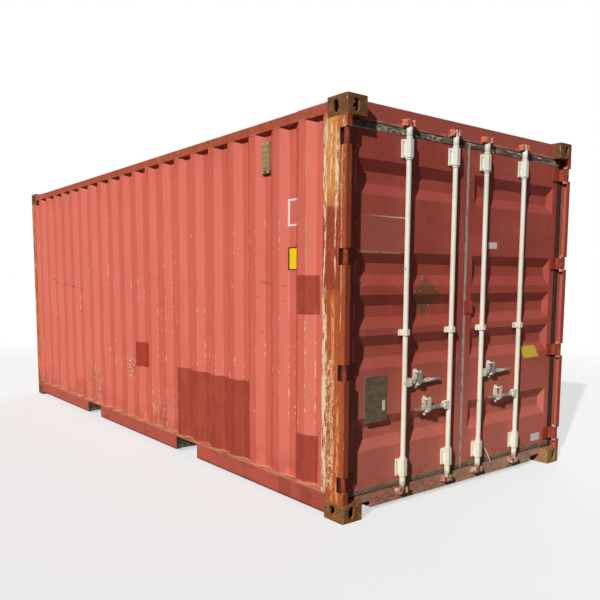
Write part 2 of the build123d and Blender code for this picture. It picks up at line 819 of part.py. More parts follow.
def rod_bracket(rod_y, level, width, height):
    """Cover with a flange on either side and a raised middle that the rod turns in."""
    low = level - height / 2
    high = level + height / 2
    side = BRACKET_HUMP_WIDTH / 2
    front = rod_x + BRACKET_HUMP_FRONT
    shoulder = front - BRACKET_HUMP_CORNER
    flat = side - BRACKET_HUMP_CORNER
    outline = [
        (face_x, rod_y - side),
        (shoulder, rod_y - side),
        (front, rod_y - flat),
        (front, rod_y + flat),
        (shoulder, rod_y + side),
        (face_x, rod_y + side),
    ]
    plate_front = face_x + BRACKET_PLATE
    bracket = prism_z(outline, low, high)
    bracket += block(face_x, plate_front, rod_y - width / 2, rod_y + width / 2, low, high)
    bore = ROD_RADIUS + BRACKET_CLEARANCE
    passage = block(plate_front, rod_x, rod_y - bore, rod_y + bore, low, high)
    passage += upright_rod(rod_x, rod_y, bore, low, high)
    return bracket - passage


def rod_brackets(side):
    """Three brackets on each of the leaf's two rods."""
    brackets = []
    for rod_y in ROD_OFFSETS:
        if rod_y * side < 0:
            continue
        for level in (bracket_high, bracket_low):
            brackets.append(rod_bracket(rod_y, level, BRACKET_WIDTH, BRACKET_HEIGHT))
        brackets.append(rod_bracket(rod_y, bracket_middle, BRACKET_MIDDLE_WIDTH, BRACKET_MIDDLE_HEIGHT))
    return Compound(brackets)


def lock_rod(rod_y, turn, level):
    """Rod with a cam at each end, a collar on the lower bracket and two cheeks for the handle."""
    rod = upright_rod(rod_x, rod_y, ROD_RADIUS, ROD_BOTTOM + CAM_HEIGHT, rod_top - CAM_HEIGHT)
    half = CAM_WIDTH / 2
    finger = CAM_FINGER_THICKNESS / 2
    tip = rod_y - turn * CAM_FINGER_REACH
    cam_outline = clipped(rod_x - half, rod_x + half, rod_y - half, rod_y + half, CAM_CORNER)
    for low in (ROD_BOTTOM, rod_top - CAM_HEIGHT):
        high = low + CAM_HEIGHT
        rod += prism_z(cam_outline, low, high)
        foot = low + CAM_FINGER_MARGIN
        rod += block(rod_x - finger, rod_x + finger, rod_y, tip, foot, high - CAM_FINGER_MARGIN)
    seat = bracket_low + BRACKET_HEIGHT / 2 + COLLAR_GAP
    rod += upright_rod(rod_x, rod_y, COLLAR_RADIUS, seat, seat + COLLAR_HEIGHT)
    gap = HANDLE_THICKNESS / 2 + HANDLE_SIDE_CLEARANCE
    reach = gap + CHEEK_THICKNESS
    rivet_y = rod_y + turn * RIVET_REACH
    high = CHEEK_HEIGHT / 2
    edge_y = rivet_y + turn * RIVET_MARGIN
    cheek_outline = clipped(min(rod_y, edge_y), max(rod_y, edge_y), level - high, level + high, CHEEK_CORNER)
    rod += prism_x(cheek_outline, rod_x - reach, rod_x - gap)
    rod += prism_x(cheek_outline, rod_x + gap, rod_x + reach)
    rod += level_rod(rivet_y, level, RIVET_RADIUS, rod_x - gap, rod_x + gap)
    return rod


def handle(rod_y, turn, level):
    """Flat bar on the rivet with its corners taken off and a narrower grip at its end."""
    rivet_y = rod_y + turn * RIVET_REACH
    near = rivet_y - turn * RIVET_MARGIN
    tip = rod_y + turn * HANDLE_LENGTH
    grip = tip - turn * HANDLE_GRIP_LENGTH
    half = HANDLE_HEIGHT / 2
    grip_half = HANDLE_GRIP_HEIGHT / 2
    corner = HANDLE_CORNER
    body = clipped(min(near, grip), max(near, grip), level - half, level + half, corner)
    start = grip - turn * corner
    end = clipped(min(start, tip), max(start, tip), level - grip_half, level + grip_half, corner)
    bar = prism_x(body, handle_back, handle_front) + prism_x(end, handle_back, handle_front)
    return bar - level_rod(rivet_y, level, RIVET_RADIUS + PIN_CLEARANCE, handle_back, handle_front)


catch_back = handle_front + CRADLE_LIP_GAP + CRADLE_LIP + CATCH_GAP
catch_front = catch_back + CATCH_THICKNESS


def handle_retainer(centre_y, level):
    """Plate with a cradle for the handle and a pin for the catch."""
    half = RETAINER_WIDTH / 2
    plate_front = face_x + RETAINER_PLATE
    low = level - RETAINER_BELOW
    high = level + RETAINER_ABOVE
    plate_outline = clipped(centre_y - half, centre_y + half, low, high, RETAINER_CORNER)
    retainer = prism_x(plate_outline, face_x, plate_front)
    shelf_top = level - CRADLE_DROP
    shelf_foot = shelf_top - CRADLE_SHELF
    lip_top = shelf_top + CRADLE_LIP_HEIGHT
    lip_back = handle_front + CRADLE_LIP_GAP
    lip_front = lip_back + CRADLE_LIP
    side = CRADLE_WIDTH / 2
    retainer += block(plate_front, lip_front, centre_y - side, centre_y + side, shelf_foot, shelf_top)
    retainer += block(lip_back, lip_front, centre_y - side, centre_y + side, shelf_foot, lip_top)
    pin_front = catch_front + CATCH_SIDE_CLEARANCE
    return retainer + level_rod(centre_y, level + CATCH_PIVOT_LIFT, CATCH_PIN_RADIUS, plate_front, pin_front)


def handle_retainers(side):
    """The two retainers on one leaf."""
    retainers = []
    for rod_y, turn, level, reach in zip(ROD_OFFSETS, HANDLE_TURNS, handle_levels, RETAINER_REACHES):
        if rod_y * side > 0:
            retainers.append(handle_retainer(rod_y + turn * reach, level))
    return Compound(retainers)


def catch(centre_y, level):
    """Plate that hangs from its pin in front of the handle."""
    pivot = level + CATCH_PIVOT_LIFT
    half = CATCH_WIDTH / 2
    outline = clipped(centre_y - half, centre_y + half, level - CATCH_DROP, pivot + half, CATCH_CORNER)
    plate = prism_x(outline, catch_back, catch_front)
    return plate - level_rod(centre_y, pivot, CATCH_PIN_RADIUS + PIN_CLEARANCE, catch_back, catch_front)


def seal_plate():
    """Plate on the right leaf that covers the gap between the leaves."""
    edge = leaf_inner - SEAL_PLATE_OVERLAP
    far = edge + SEAL_PLATE_WIDTH
    low = leaf_foot + SEAL_PLATE_LOW_SHARE * leaf_height
    return block(face_x, face_x + SEAL_PLATE_THICKNESS, edge, far, low, low + SEAL_PLATE_HEIGHT)


def ventilators():
    """A louvred cover in one trough of each side wall."""
    trough_front = post_x - SIDE_END_SLOPE - VENT_TROUGH_COUNT * side_pitch
    centre = trough_front - SIDE_FLOOR / 2
    spread = (VENT_WIDTH - SIDE_FLOOR) / 2
    rise = spread * SIDE_FOLD_DEPTH / SIDE_SLOPE
    vent_top = wall_top - VENT_DROP
    vent_foot = vent_top - VENT_HEIGHT
    pitch = VENT_HEIGHT / (VENT_LOUVRE_COUNT + 1)
    covers = []
    for side in (-1, 1):
        back = side * trough_y
        shoulder = side * (trough_y + rise)
        front = side * (trough_y + VENT_DEPTH)
        outline = [
            (centre - SIDE_FLOOR / 2, back),
            (centre + SIDE_FLOOR / 2, back),
            (centre + VENT_WIDTH / 2, shoulder),
            (centre + VENT_WIDTH / 2, front),
            (centre - VENT_WIDTH / 2, front),
            (centre - VENT_WIDTH / 2, shoulder),
        ]
        cover = prism_z(outline, vent_foot, vent_top)
        for number in range(VENT_LOUVRE_COUNT):
            low = vent_foot + pitch * (number + 1)
            skin = side * (trough_y + VENT_DEPTH - VENT_SHEET)
            half = SIDE_FLOOR / 2
            cover -= block(centre - half, centre + half, skin, front, low, low + VENT_SHEET)
        covers.append(cover)
    return Compound(covers)


def make_parts():
    """Every sub-part by its name."""
    parts = {}
    parts["corner_castings_rear"] = corner_castings(1)
    parts["corner_castings_front"] = corner_castings(-1)
    for side, side_name in ((-1, "left"), (1, "right")):
        parts["rear_post_" + side_name] = rear_post(side)
        parts["hinge_lugs_" + side_name] = hinge_lugs(side)
        parts["front_post_" + side_name] = front_post(side)
        parts["top_rail_" + side_name] = top_rail(side)
        parts["bottom_rail_" + side_name] = bottom_rail(side)
        parts["side_wall_" + side_name] = side_wall(side)
        parts["door_frame_" + side_name] = door_frame(side)
        parts["door_panel_" + side_name] = door_panel(side)
        parts["door_gasket_" + side_name] = door_gasket(side)
        parts["hinge_blades_" + side_name] = hinge_blades(side)
        parts["rod_brackets_" + side_name] = rod_brackets(side)
        parts["handle_retainers_" + side_name] = handle_retainers(side)
    parts["front_wall"] = front_wall()
    parts["front_top_rail"] = front_top_rail()
    parts["front_sill"] = front_sill()
    parts["roof_panel"] = roof_panel()
    parts["roof_corner_plates"] = roof_corner_plates()
    parts["floor_boards"] = floor_boards()
    parts["cross_members"] = cross_members()
    parts["fork_pockets"] = fork_pockets()
    parts["door_header"] = door_header()
    parts["door_sill"] = door_sill()
    parts["cam_keepers"] = cam_keepers()
    parts["seal_plate"] = seal_plate()
    parts["ventilators"] = ventilators()
    rods = zip(ROD_OFFSETS, HANDLE_TURNS, handle_levels, RETAINER_REACHES)
    for number, (rod_y, turn, level, reach) in enumerate(rods, start=1):
        parts["lock_rod_" + str(number)] = lock_rod(rod_y, turn, level)
        parts["handle_" + str(number)] = handle(rod_y, turn, level)
        parts["catch_" + str(number)] = catch(rod_y + turn * reach, level)
    return parts


os.makedirs("parts", exist_ok=True)
for name, shape in make_parts().items():
    export_step(shape, "parts/" + name + ".step")
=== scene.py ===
import json
import math
import random

import bpy
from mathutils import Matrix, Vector

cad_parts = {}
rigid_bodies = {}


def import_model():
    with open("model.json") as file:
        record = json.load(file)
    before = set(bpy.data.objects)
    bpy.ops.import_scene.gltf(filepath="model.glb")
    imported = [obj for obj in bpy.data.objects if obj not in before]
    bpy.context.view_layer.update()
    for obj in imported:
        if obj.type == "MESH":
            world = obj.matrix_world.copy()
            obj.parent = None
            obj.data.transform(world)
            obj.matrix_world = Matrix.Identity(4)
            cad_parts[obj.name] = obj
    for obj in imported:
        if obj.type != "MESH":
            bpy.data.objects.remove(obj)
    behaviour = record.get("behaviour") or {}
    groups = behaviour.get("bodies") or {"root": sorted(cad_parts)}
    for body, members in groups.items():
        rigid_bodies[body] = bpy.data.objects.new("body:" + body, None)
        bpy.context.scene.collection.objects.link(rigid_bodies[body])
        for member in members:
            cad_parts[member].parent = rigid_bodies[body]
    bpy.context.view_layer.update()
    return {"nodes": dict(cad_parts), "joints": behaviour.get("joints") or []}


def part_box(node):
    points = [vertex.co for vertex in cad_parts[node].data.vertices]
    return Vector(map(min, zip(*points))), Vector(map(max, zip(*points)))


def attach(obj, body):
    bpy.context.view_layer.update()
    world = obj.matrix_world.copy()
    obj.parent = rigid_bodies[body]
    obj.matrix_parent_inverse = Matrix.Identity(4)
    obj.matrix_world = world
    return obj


# A 20 ft freight container. Metres: X along the length with the doors at +X, Y across, Z up.
# Left and right are as seen by someone who faces the doors.

# Camera, as the photograph was taken
CAMERA_PLACE = (5.9478, -3.8801, 1.5068)
CAMERA_TURN = (1.4656, -0.003, 0.9127)
CAMERA_LENS = 39.55
CAMERA_SHIFT_X = 0.0141
CAMERA_SHIFT_Y = 0.0827

# Light
SUN_FROM = (1.0, -2.1, 1.3)
SUN_STRENGTH = 3.4
SUN_ANGLE = 1.2
BACK_FROM = (-1.2, 2.0, 1.2)
BACK_STRENGTH = 1.7
BACK_ANGLE = 60.0
SKY_STRENGTH = 0.04
FLOOR_REACH = 120.0
FLOOR_PALE_FROM = 6.0
FLOOR_PALE_TO = 11.0
FLOOR_GLOW = 0.60

# Colours as they look on screen, 0 to 255
WALL_RED = (214, 102, 84)
WALL_FADED = (224, 116, 97)
WALL_DEEP = (190, 84, 68)
WALL_CHALK_AND_SHEEN = (234, 168, 152)
WALL_PATCH = (158, 64, 46)
WALL_PATCH_DEEP = (152, 42, 22)
WALL_ORANGE = (200, 86, 54)
DOOR_RED = (172, 76, 63)
DOOR_FADED = (196, 102, 86)
DOOR_PALE = (222, 130, 110)
DOOR_DEEP = (148, 58, 46)
DOOR_UNDERSIDE_SHADE = (120, 40, 32)
SILL_DUST = (200, 176, 150)
DOOR_OVERPAINT = (168, 94, 80)
DOOR_GRIME = (126, 92, 70)
FRAME_RED = (182, 86, 72)
FRAME_DEEP = (146, 66, 50)
NEWER_RED_AND_SHADE = (154, 62, 44)
POST_BROWN = (190, 108, 58)
POST_RED = (176, 80, 50)
POST_GOLD = (232, 154, 84)
POST_SHADED = (64, 50, 40)
CASTING_BROWN = (140, 92, 56)
CASTING_OLIVE = (104, 70, 44)
RUST_ORANGE = (204, 124, 60)
RUST_BROWN = (142, 82, 48)
RUST_DARK = (86, 50, 34)
RUST_TAN = (210, 166, 112)
FLAKE_CREAM = (242, 218, 176)
SOOT = (34, 29, 28)
DUST = (176, 158, 132)
KEEPER_RED = (206, 104, 84)
GEAR_CREAM = (240, 234, 212)
GEAR_COOL = (228, 231, 220)
GEAR_DULL = (212, 206, 184)
ZINC_DARK = (118, 114, 106)
RUBBER_GREY = (112, 108, 100)
RUBBER_PALE = (200, 196, 184)
RUBBER_DARK = (50, 46, 44)
RUBBER_DIRT = (134, 118, 92)
VENT_TAN = (164, 140, 98)
VENT_DARK = (78, 60, 44)
PLY_BROWN = (150, 108, 68)
PLY_DARK = (96, 66, 42)
UNDER_GREEN = (78, 80, 66)
UNDER_PALE = (150, 144, 122)
PLATE_GREY = (118, 100, 80)
PLATE_DARK = (84, 72, 60)
LABEL_WHITE = (236, 234, 226)
LABEL_YELLOW = (250, 214, 30)
TAG_YELLOW = (255, 214, 78)
FLOOR_PALE = (244, 244, 244)
FLOOR_DULL = (74, 74, 74)

# The folds of the side walls
SIDE_FOLDS = 20
FOLD_END_SLOPE = 0.036
FOLD_FLOOR = 0.070
FOLD_SLOPE = 0.068

# Marks on the left wall and the rails: two places along X, then two heights
WALL_PATCHES = (
    ((0.890, 1.945, 0.150, 0.760), WALL_PATCH),
    ((0.059, 0.341, 0.684, 0.920), WALL_PATCH_DEEP),
    ((2.517, 2.745, 1.287, 1.539), WALL_PATCH),
    ((2.523, 2.737, 0.185, 0.497), WALL_PATCH),
)
ORANGE_PATCH = (-1.573, -1.274, 0.184, 0.389)
SPECK_CLUSTER = (-0.150, -0.030, 0.560, 0.760)
SMUDGES = ((-1.240, -0.880, 0.180, 0.520), (0.360, 0.760, 0.180, 0.420))
LABEL_FRAME = (2.418, 2.542, 1.861, 2.038)
LABEL_FRAME_INSIDE = (2.432, 2.528, 1.873, 2.026)
YELLOW_LABEL = (2.419, 2.538, 1.571, 1.724)
YELLOW_LABEL_INSIDE = (2.429, 2.528, 1.580, 1.715)
RAIL_PATCHES = ((2.36, 2.50, 0.0, 0.2), (2.60, 2.72, 0.0, 0.2))

# Scrapes on the left wall: two places along X, the level at the first and the drop over the run
SCRAPES = (
    (-2.35, -1.30, 1.49, 0.10),
    (2.10, 2.30, 1.50, 0.04),
    (2.38, 2.52, 1.47, 0.03),
)

# Marks on the doors: two places along Y, then two heights
OVERPAINT = (-1.056, -0.630, 1.684, 1.909)
DOOR_LABEL = (0.253, 0.365, 1.741, 1.788)
DOOR_NOTE = (0.910, 1.038, 0.197, 0.258)
YELLOW_TAG = (0.739, 0.942, 0.895, 0.992)
YELLOW_TAG_LEAN = 0.035
DOOR_SCRATCHES = ((-0.546, -0.542, 0.288, 0.330), (-0.508, -0.505, 0.310, 0.372))
PLATE = (-0.980, -0.774, 0.591, 0.894)
PLATE_TAG = (-0.819, -0.795, 0.661, 0.730)

# The rubbed diamond on the left door: its centre along Y and in height, and its reach either way
RESIDUE_CENTRE = (-0.408, 1.402)
RESIDUE_REACH = (0.152, 0.134)

# The bare grips of the four handles: two places along Y
GRIPS = ((-0.345, -0.275), (-0.540, -0.470), (0.470, 0.540), (0.275, 0.345))

# The newer paint on the door posts, two heights
POST_PAINT = (1.45, 1.95)

# Runs of primer on the door posts: place along X, half the width, two heights, seed and colour
POST_DRIPS = (
    (2.832, 0.022, 1.93, 2.44, 301, FLAKE_CREAM),
    (2.938, 0.022, 1.93, 2.36, 303, FLAKE_CREAM),
    (2.890, 0.012, 2.16, 2.46, 313, FLAKE_CREAM),
    (2.985, 0.007, 1.20, 2.40, 305, RUST_TAN),
    (2.830, 0.012, 1.46, 1.95, 315, FLAKE_CREAM),
    (2.932, 0.010, 1.56, 1.90, 317, FLAKE_CREAM),
    (2.836, 0.030, 0.14, 1.44, 307, FLAKE_CREAM),
    (2.914, 0.020, 0.12, 1.40, 309, POST_GOLD),
    (2.964, 0.018, 0.12, 0.78, 311, POST_GOLD),
)

# Where the door posts are scratched: two places along X, then two heights
POST_SCRATCHED = (2.815, 2.930, 0.20, 1.02)

# Where a finish changes: the change begins at the first place and is complete at the second.
# Heights
WALL_HEAD = (2.20, 2.50)
WALL_CHIPS_LOWEST = (0.10, 0.40)
WALL_CHIPS_HIGHEST = (2.20, 1.50)
WALL_FOOT = (0.42, 0.17)
WALL_FOOT_LINE = (0.180, 0.167)
RAIL_HEAD = (2.45, 2.48)
RAIL_LOWER = (0.30, 0.20)
RAIL_UPPER_EDGE = (0.148, 0.160)
RAIL_UNDERSIDE = (0.050, 0.034)
POST_HEAD = (1.90, 2.14)
POST_HEAD_EDGE = (1.93, 1.96)
CASTINGS_UPPER = (1.0, 2.0)
CASTINGS_LOWER = (1.0, 0.3)
DOOR_LOWER_HALF = (1.40, 0.30)
DOOR_FOOT = (0.34, 0.10)
SILL_LEVEL = (0.135, 0.115)
HEADER_LEVEL = (2.466, 2.474)
GEAR_UPPER = (1.0, 2.2)
GEAR_HEAD = (2.49, 2.53)
GEAR_FOOT = (0.19, 0.09)
KEEPERS_LOWER = (1.2, 0.8)
GASKET_HEAD = (2.42, 2.436)
GASKET_HEAD_EDGE = (2.447, 2.441)
GASKET_FOOT = (0.165, 0.148)
VENT_FOOT = (2.262, 2.244)
ROOF_TROUGHS = (2.577, 2.567)
UNDERSIDE_LOWEST = (0.09, 0.04)
# Heights above the old seal's lower edge
TRIM_RIM = (0.012, 0.006)
# Places along X
RAIL_REAR = (2.2, 2.85)
POST_PAINT_END = (2.990, 2.984)
POST_RIM = (3.000, 3.014)
POST_HIDDEN_ALONG = (3.018, 3.012)
POST_DEEP_ALONG = (2.985, 2.975)
BLADE_KNUCKLE = (2.978, 2.990)
# Places along Y
LEFT_HALF = (0.1, -0.1)
RIGHT_HALF = (-0.1, 0.1)
CASTINGS_RIGHT = (0.0, 1.0)
SILL_RIGHTWARD = (-0.80, 0.60)
# Distances from the middle, to either side
POST_HIDDEN_ACROSS = (1.214, 1.208)
POST_DEEP_ACROSS = (1.212, 1.208)
GASKET_SIDE = (1.138, 1.146)
TRIM_OUTER = (0.70, 0.85)

# Bands of a finish, from edge to edge: along X, in height and along Y
POST_MIDDLE = (2.838, 2.944)
HEADER_RUBBED = (2.474, 2.494)
GASKET_MIDDLE = (-0.030, 0.030)

# How much of the light each finish reflects
PLAIN_GLOSS = 0.12
WALL_GLOSS = 0.08
DOOR_GLOSS = 0.10
GEAR_GLOSS = 0.4
FLOOR_GLOSS = 0.1

# Noise, worn edges and fold lines; a seed moves the noise on by the steps along X, Y and Z
SEED_STEPS = (3.7, 5.3, 7.9)
NOISE_ROUGHNESS = 0.6
PATCH_EDGE = 0.08
BEVEL_SAMPLES = 6
BEVEL_TURN = (0.995, 0.90)
FOLD_LINE = (0.008, 0.002)

# Small pieces
BRACKET_WIDTH = 0.092
BRACKET_HEIGHT = 0.116
BRACKET_PLATE = 0.010
BRACKET_BELOW_LEAF_TOP = 0.093
BRACKET_ABOVE_LEAF_FOOT = 0.113
BRACKET_MIDDLE_SHARE = 0.4455
BRACKET_MIDDLE_WIDTH = 0.084
BOLT_RADIUS = 0.008
BOLT_HEIGHT = 0.006
BOLT_MARGIN = 0.015
RIVET_RADIUS = 0.009
RIVET_HEIGHT = 0.004
RING_RADIUS = 0.022
RING_HEIGHT = 0.012
RING_GAP = 0.002
RING_CUT = 0.002
RETAINER_PLATE = 0.006
ROD_RADIUS = 0.017
CHEEK_FRONT = 0.014
SLEEVE_RADIUS = 0.020
SLEEVE_TOP_LEVEL = 2.477
SLEEVE_FOOT_LEVEL = 0.126
SLEEVE_FOOT_CUT = 0.002
SLEEVE_HEAD_CUT = 0.006
KNOB_RADIUS = 0.014
KNOB_HEIGHT = 0.007
KNOB_DROP = 0.042
CAP_RADIUS = 0.012
CAP_HEIGHT = 0.004
BEAD_RADIUS = 0.004
BEAD_STEP = 0.010
BEAD_LIFT = 0.002
BEAD_SWAY = 0.3
BEAD_RIPPLE = 0.25
BEAD_RIPPLE_TURN = 1.7
BEAD_ROUGHNESS = 0.15
PLATE_THICKNESS = 0.002
PLATE_RIVET_INSET = 0.010
PLATE_RIVET = ((0.005, 0), (0.004, 0.0015), (0.002, 0.002))
LABEL_SHARE = 0.3
TAG_SHARE = 0.4
VENT_BOLT_INSET = 0.012
VENT_BOLT_RADIUS = 0.005
VENT_BOLT_HEIGHT = 0.003

# Old seal that laps over the leaves' upper and lower edges: two heights each
TRIM_HEAD = (2.421, 2.466)
TRIM_FOOT = (0.134, 0.171)

# The seal's ends along Y, its back and front from the leaf's face, and how ragged it is
TRIM_ENDS = (0.013, 1.160)
TRIM_BACK = -0.002
TRIM_FRONT = 0.003
TRIM_STEP = 0.012
TRIM_RAGGED = 0.003
RIBBON_INSET = 0.15

# A bent strap that hangs at the third rod's foot: places across and up
STRAP_ROUTE = (
    (0.222, 0.285),
    (0.262, 0.262),
    (0.305, 0.215),
    (0.342, 0.160),
    (0.368, 0.105),
    (0.384, 0.070),
    (0.402, 0.064),
)
STRAP_RADIUS = 0.0045
STRAP_FORWARD = 0.009

random.seed(7)

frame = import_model()


def linear(colour):
    """A screen colour as the linear values that a shader takes."""
    values = []
    for part in colour:
        share = part / 255
        values.append(share / 12.92 if share <= 0.04045 else ((share + 0.055) / 1.055) ** 2.4)
    return (*values, 1.0)


class Value:
    """A number that varies over a surface. As a mask it is 1 where a layer lies and 0 elsewhere."""

    def __init__(self, coat, socket):
        self.coat = coat
        self.socket = socket

    def __add__(self, other):
        return self.coat.calc("ADD", self, other)

    def __sub__(self, other):
        return self.coat.calc("SUBTRACT", self, other)

    def __rsub__(self, other):
        return self.coat.calc("SUBTRACT", other, self)

    def __mul__(self, other):
        return self.coat.calc("MULTIPLY", self, other)

    def __truediv__(self, other):
        return self.coat.calc("DIVIDE", self, other)

    def __mod__(self, other):
        return self.coat.calc("FLOORED_MODULO", self, other)

    def __or__(self, other):
        return self.coat.calc("MAXIMUM", self, other)

    def __abs__(self):
        return self.coat.calc("ABSOLUTE", self)

    def rise(self, low, high):
        """0 before low, 1 past high, and smooth between them."""
        node = self.coat.add("ShaderNodeMapRange", interpolation_type="SMOOTHSTEP")
        self.coat.put(self, node.inputs["Value"])
        node.inputs["From Min"].default_value = low
        node.inputs["From Max"].default_value = high
        return Value(self.coat, node.outputs["Result"])

    def within(self, low, high, blur):
        """1 between low and high."""
        return self.rise(low - blur, low + blur) * self.rise(high + blur, high - blur)


def union(masks):
    """Where any of the masks is."""
    result = masks[0]
    for mask in masks[1:]:
        result = result | mask
    return result


class Coat:
    """A finish built up in layers, from noise and masks measured in the part's own metres."""

    def __init__(self, name, colour, roughness):
        self.material = bpy.data.materials.new(name)
        self.material.use_nodes = True
        self.tree = self.material.node_tree
        self.tree.nodes.clear()
        self.place = self.add("ShaderNodeTexCoord").outputs["Object"]
        self.x, self.y, self.z = self.split(self.place)
        self.colour = linear(colour)
        self.roughness = roughness
        self.height = 0.0

    def add(self, kind, **settings):
        """A new node with its settings."""
        node = self.tree.nodes.new(kind)
        for setting, value in settings.items():
            setattr(node, setting, value)
        return node

    def put(self, value, socket):
        """Joins a value or another socket to a socket, or sets it to a plain number or colour."""
        if isinstance(value, Value):
            value = value.socket
        if isinstance(value, bpy.types.NodeSocket):
            self.tree.links.new(value, socket)
        else:
            socket.default_value = value

    def calc(self, operation, first, second=0.0):
        """One step of arithmetic."""
        node = self.add("ShaderNodeMath", operation=operation)
        self.put(first, node.inputs[0])
        self.put(second, node.inputs[1])
        return Value(self, node.outputs[0])

    def split(self, vector):
        """The three parts of a vector."""
        node = self.add("ShaderNodeSeparateXYZ")
        self.put(vector, node.inputs[0])
        return [Value(self, part) for part in node.outputs]

    def stretched(self, size, stretch, seed):
        """The place in units of the size, moved on by the seed. A stretch is upward, or one per axis."""
        if not isinstance(stretch, tuple):
            stretch = (1, 1, stretch)
        node = self.add("ShaderNodeMapping")
        self.put(self.place, node.inputs["Vector"])
        node.inputs["Location"].default_value = [seed * step for step in SEED_STEPS]
        node.inputs["Scale"].default_value = [1 / (size * share) for share in stretch]
        return node.outputs[0]

    def noise(self, size, stretch=1, seed=0, detail=4):
        """Soft noise around one half, with blobs of the size."""
        node = self.add("ShaderNodeTexNoise")
        self.put(self.stretched(size, stretch, seed), node.inputs["Vector"])
        node.inputs["Scale"].default_value = 1.0
        node.inputs["Detail"].default_value = detail
        node.inputs["Roughness"].default_value = NOISE_ROUGHNESS
        return Value(self, node.outputs[0])

    def cells(self, size, stretch=1, seed=0):
        """Distance to the nearest of many scattered points, 0 at each of them."""
        node = self.add("ShaderNodeTexVoronoi")
        self.put(self.stretched(size, stretch, seed), node.inputs["Vector"])
        node.inputs["Scale"].default_value = 1.0
        return Value(self, node.outputs["Distance"])

    def sway(self, reach, size, stretch=1, seed=0, detail=4):
        """Noise around zero that bends an edge to and fro."""
        return (self.noise(size, stretch, seed, detail) - 0.5) * reach

    def patch(self, across, box, blur=0.002, wobble=0.0, seed=0):
        """1 inside a box given by two places across and two heights, with a rough edge if asked."""
        height = self.z
        if wobble:
            sway = self.sway(wobble, PATCH_EDGE, seed=seed)
            across = across + sway
            height = height + sway
        left, right, low, high = box
        return across.within(left, right, blur) * height.within(low, high, blur)

    def edges(self, radius):
        """1 along edges and in corners, about as wide as the radius."""
        soft = self.add("ShaderNodeBevel", samples=BEVEL_SAMPLES)
        soft.inputs["Radius"].default_value = radius
        plain = self.add("ShaderNodeNewGeometry").outputs["Normal"]
        node = self.add("ShaderNodeVectorMath", operation="DOT_PRODUCT")
        self.put(soft.outputs[0], node.inputs[0])
        self.put(plain, node.inputs[1])
        return Value(self, node.outputs["Value"]).rise(*BEVEL_TURN)

    def facing(self, axis):
        """How far the closed part's surface faces along an axis, from 1 down to -1."""
        return self.split(self.add("ShaderNodeTexCoord").outputs["Normal"])["XYZ".index(axis)]

    def blend(self, mask, low, high):
        """A mix of two numbers by a mask."""
        node = self.add("ShaderNodeMix", data_type="FLOAT")
        self.put(mask, node.inputs["Factor"])
        self.put(low, node.inputs[2])
        self.put(high, node.inputs[3])
        return Value(self, node.outputs[0])

    def lay(self, mask, colour, share=1.0, roughness=None, height=0.0):
        """Lays a colour over what is there, with its own roughness and height."""
        if share != 1.0:
            mask = mask * share
        node = self.add("ShaderNodeMix", data_type="RGBA")
        self.put(mask, node.inputs["Factor"])
        self.put(self.colour, node.inputs[6])
        self.put(linear(colour), node.inputs[7])
        self.colour = node.outputs[2]
        if roughness is not None:
            self.roughness = self.blend(mask, self.roughness, roughness)
        if height:
            self.swell(mask, height)

    def swell(self, value, height):
        """Adds relief: the value, which runs from 0 to 1, times a height."""
        self.height = value * height + self.height

    def rust(self, mask, seed, size=0.03, height=0.0006):
        """Rust in three tones where the mask is."""
        self.lay(mask, RUST_BROWN, 1.0, 0.9, height)
        bright = self.noise(size, 1.6, seed).rise(0.48, 0.62)
        self.lay(mask * bright, RUST_ORANGE, 0.75)
        dark = self.noise(size * 0.6, 1.4, seed + 1).rise(0.52, 0.64)
        self.lay(mask * dark, RUST_DARK, 0.8)

    def finish(self, metallic=0.0, specular=PLAIN_GLOSS):
        """Joins the layers to a shader and returns the material."""
        self.shader = self.add("ShaderNodeBsdfPrincipled")
        relief = self.add("ShaderNodeBump")
        relief.inputs["Distance"].default_value = 1.0
        self.put(self.height, relief.inputs["Height"])
        self.put(self.colour, self.shader.inputs["Base Color"])
        self.put(self.roughness, self.shader.inputs["Roughness"])
        self.put(relief.outputs[0], self.shader.inputs["Normal"])
        self.shader.inputs["Metallic"].default_value = metallic
        self.shader.inputs["Specular IOR Level"].default_value = specular
        self.output = self.add("ShaderNodeOutputMaterial")
        self.put(self.shader.outputs[0], self.output.inputs["Surface"])
        return self.material


def fold_pitch(low_x, high_x):
    """Distance from fold to fold of a side wall that runs between two places."""
    return (high_x - low_x - 2 * FOLD_END_SLOPE - FOLD_FLOOR) / SIDE_FOLDS


def fold_edges(coat, low_x, high_x):
    """1 along the fold lines of a side wall."""
    pitch = fold_pitch(low_x, high_x)
    phase = (coat.x - (low_x + FOLD_END_SLOPE)) % pitch
    lines = (0.0, FOLD_FLOOR, FOLD_FLOOR + FOLD_SLOPE, pitch - FOLD_SLOPE, pitch)
    return union([abs(phase - line).rise(*FOLD_LINE) for line in lines])


def wall_paint(name):
    """Sun-faded red paint with faint streaks, and darker runs below the top rail, for all walls."""
    coat = Coat(name, WALL_RED, 0.6)
    coat.lay(coat.noise(1.3, 1.6, 1, 3).rise(0.42, 0.66), WALL_FADED, 0.45, 0.68)
    coat.lay(coat.noise(0.45, 2.2, 2).rise(0.50, 0.74), WALL_DEEP, 0.30)
    coat.lay(coat.noise(0.025, 26, 3).rise(0.54, 0.74), WALL_DEEP, 0.30, 0.72)
    coat.lay(coat.noise(0.02, 20, 4).rise(0.58, 0.76), WALL_FADED, 0.30)
    high = coat.z.rise(*WALL_HEAD)
    coat.lay(high * coat.noise(0.04, 10, 5).rise(0.44, 0.66), WALL_DEEP, 0.55)
    return coat


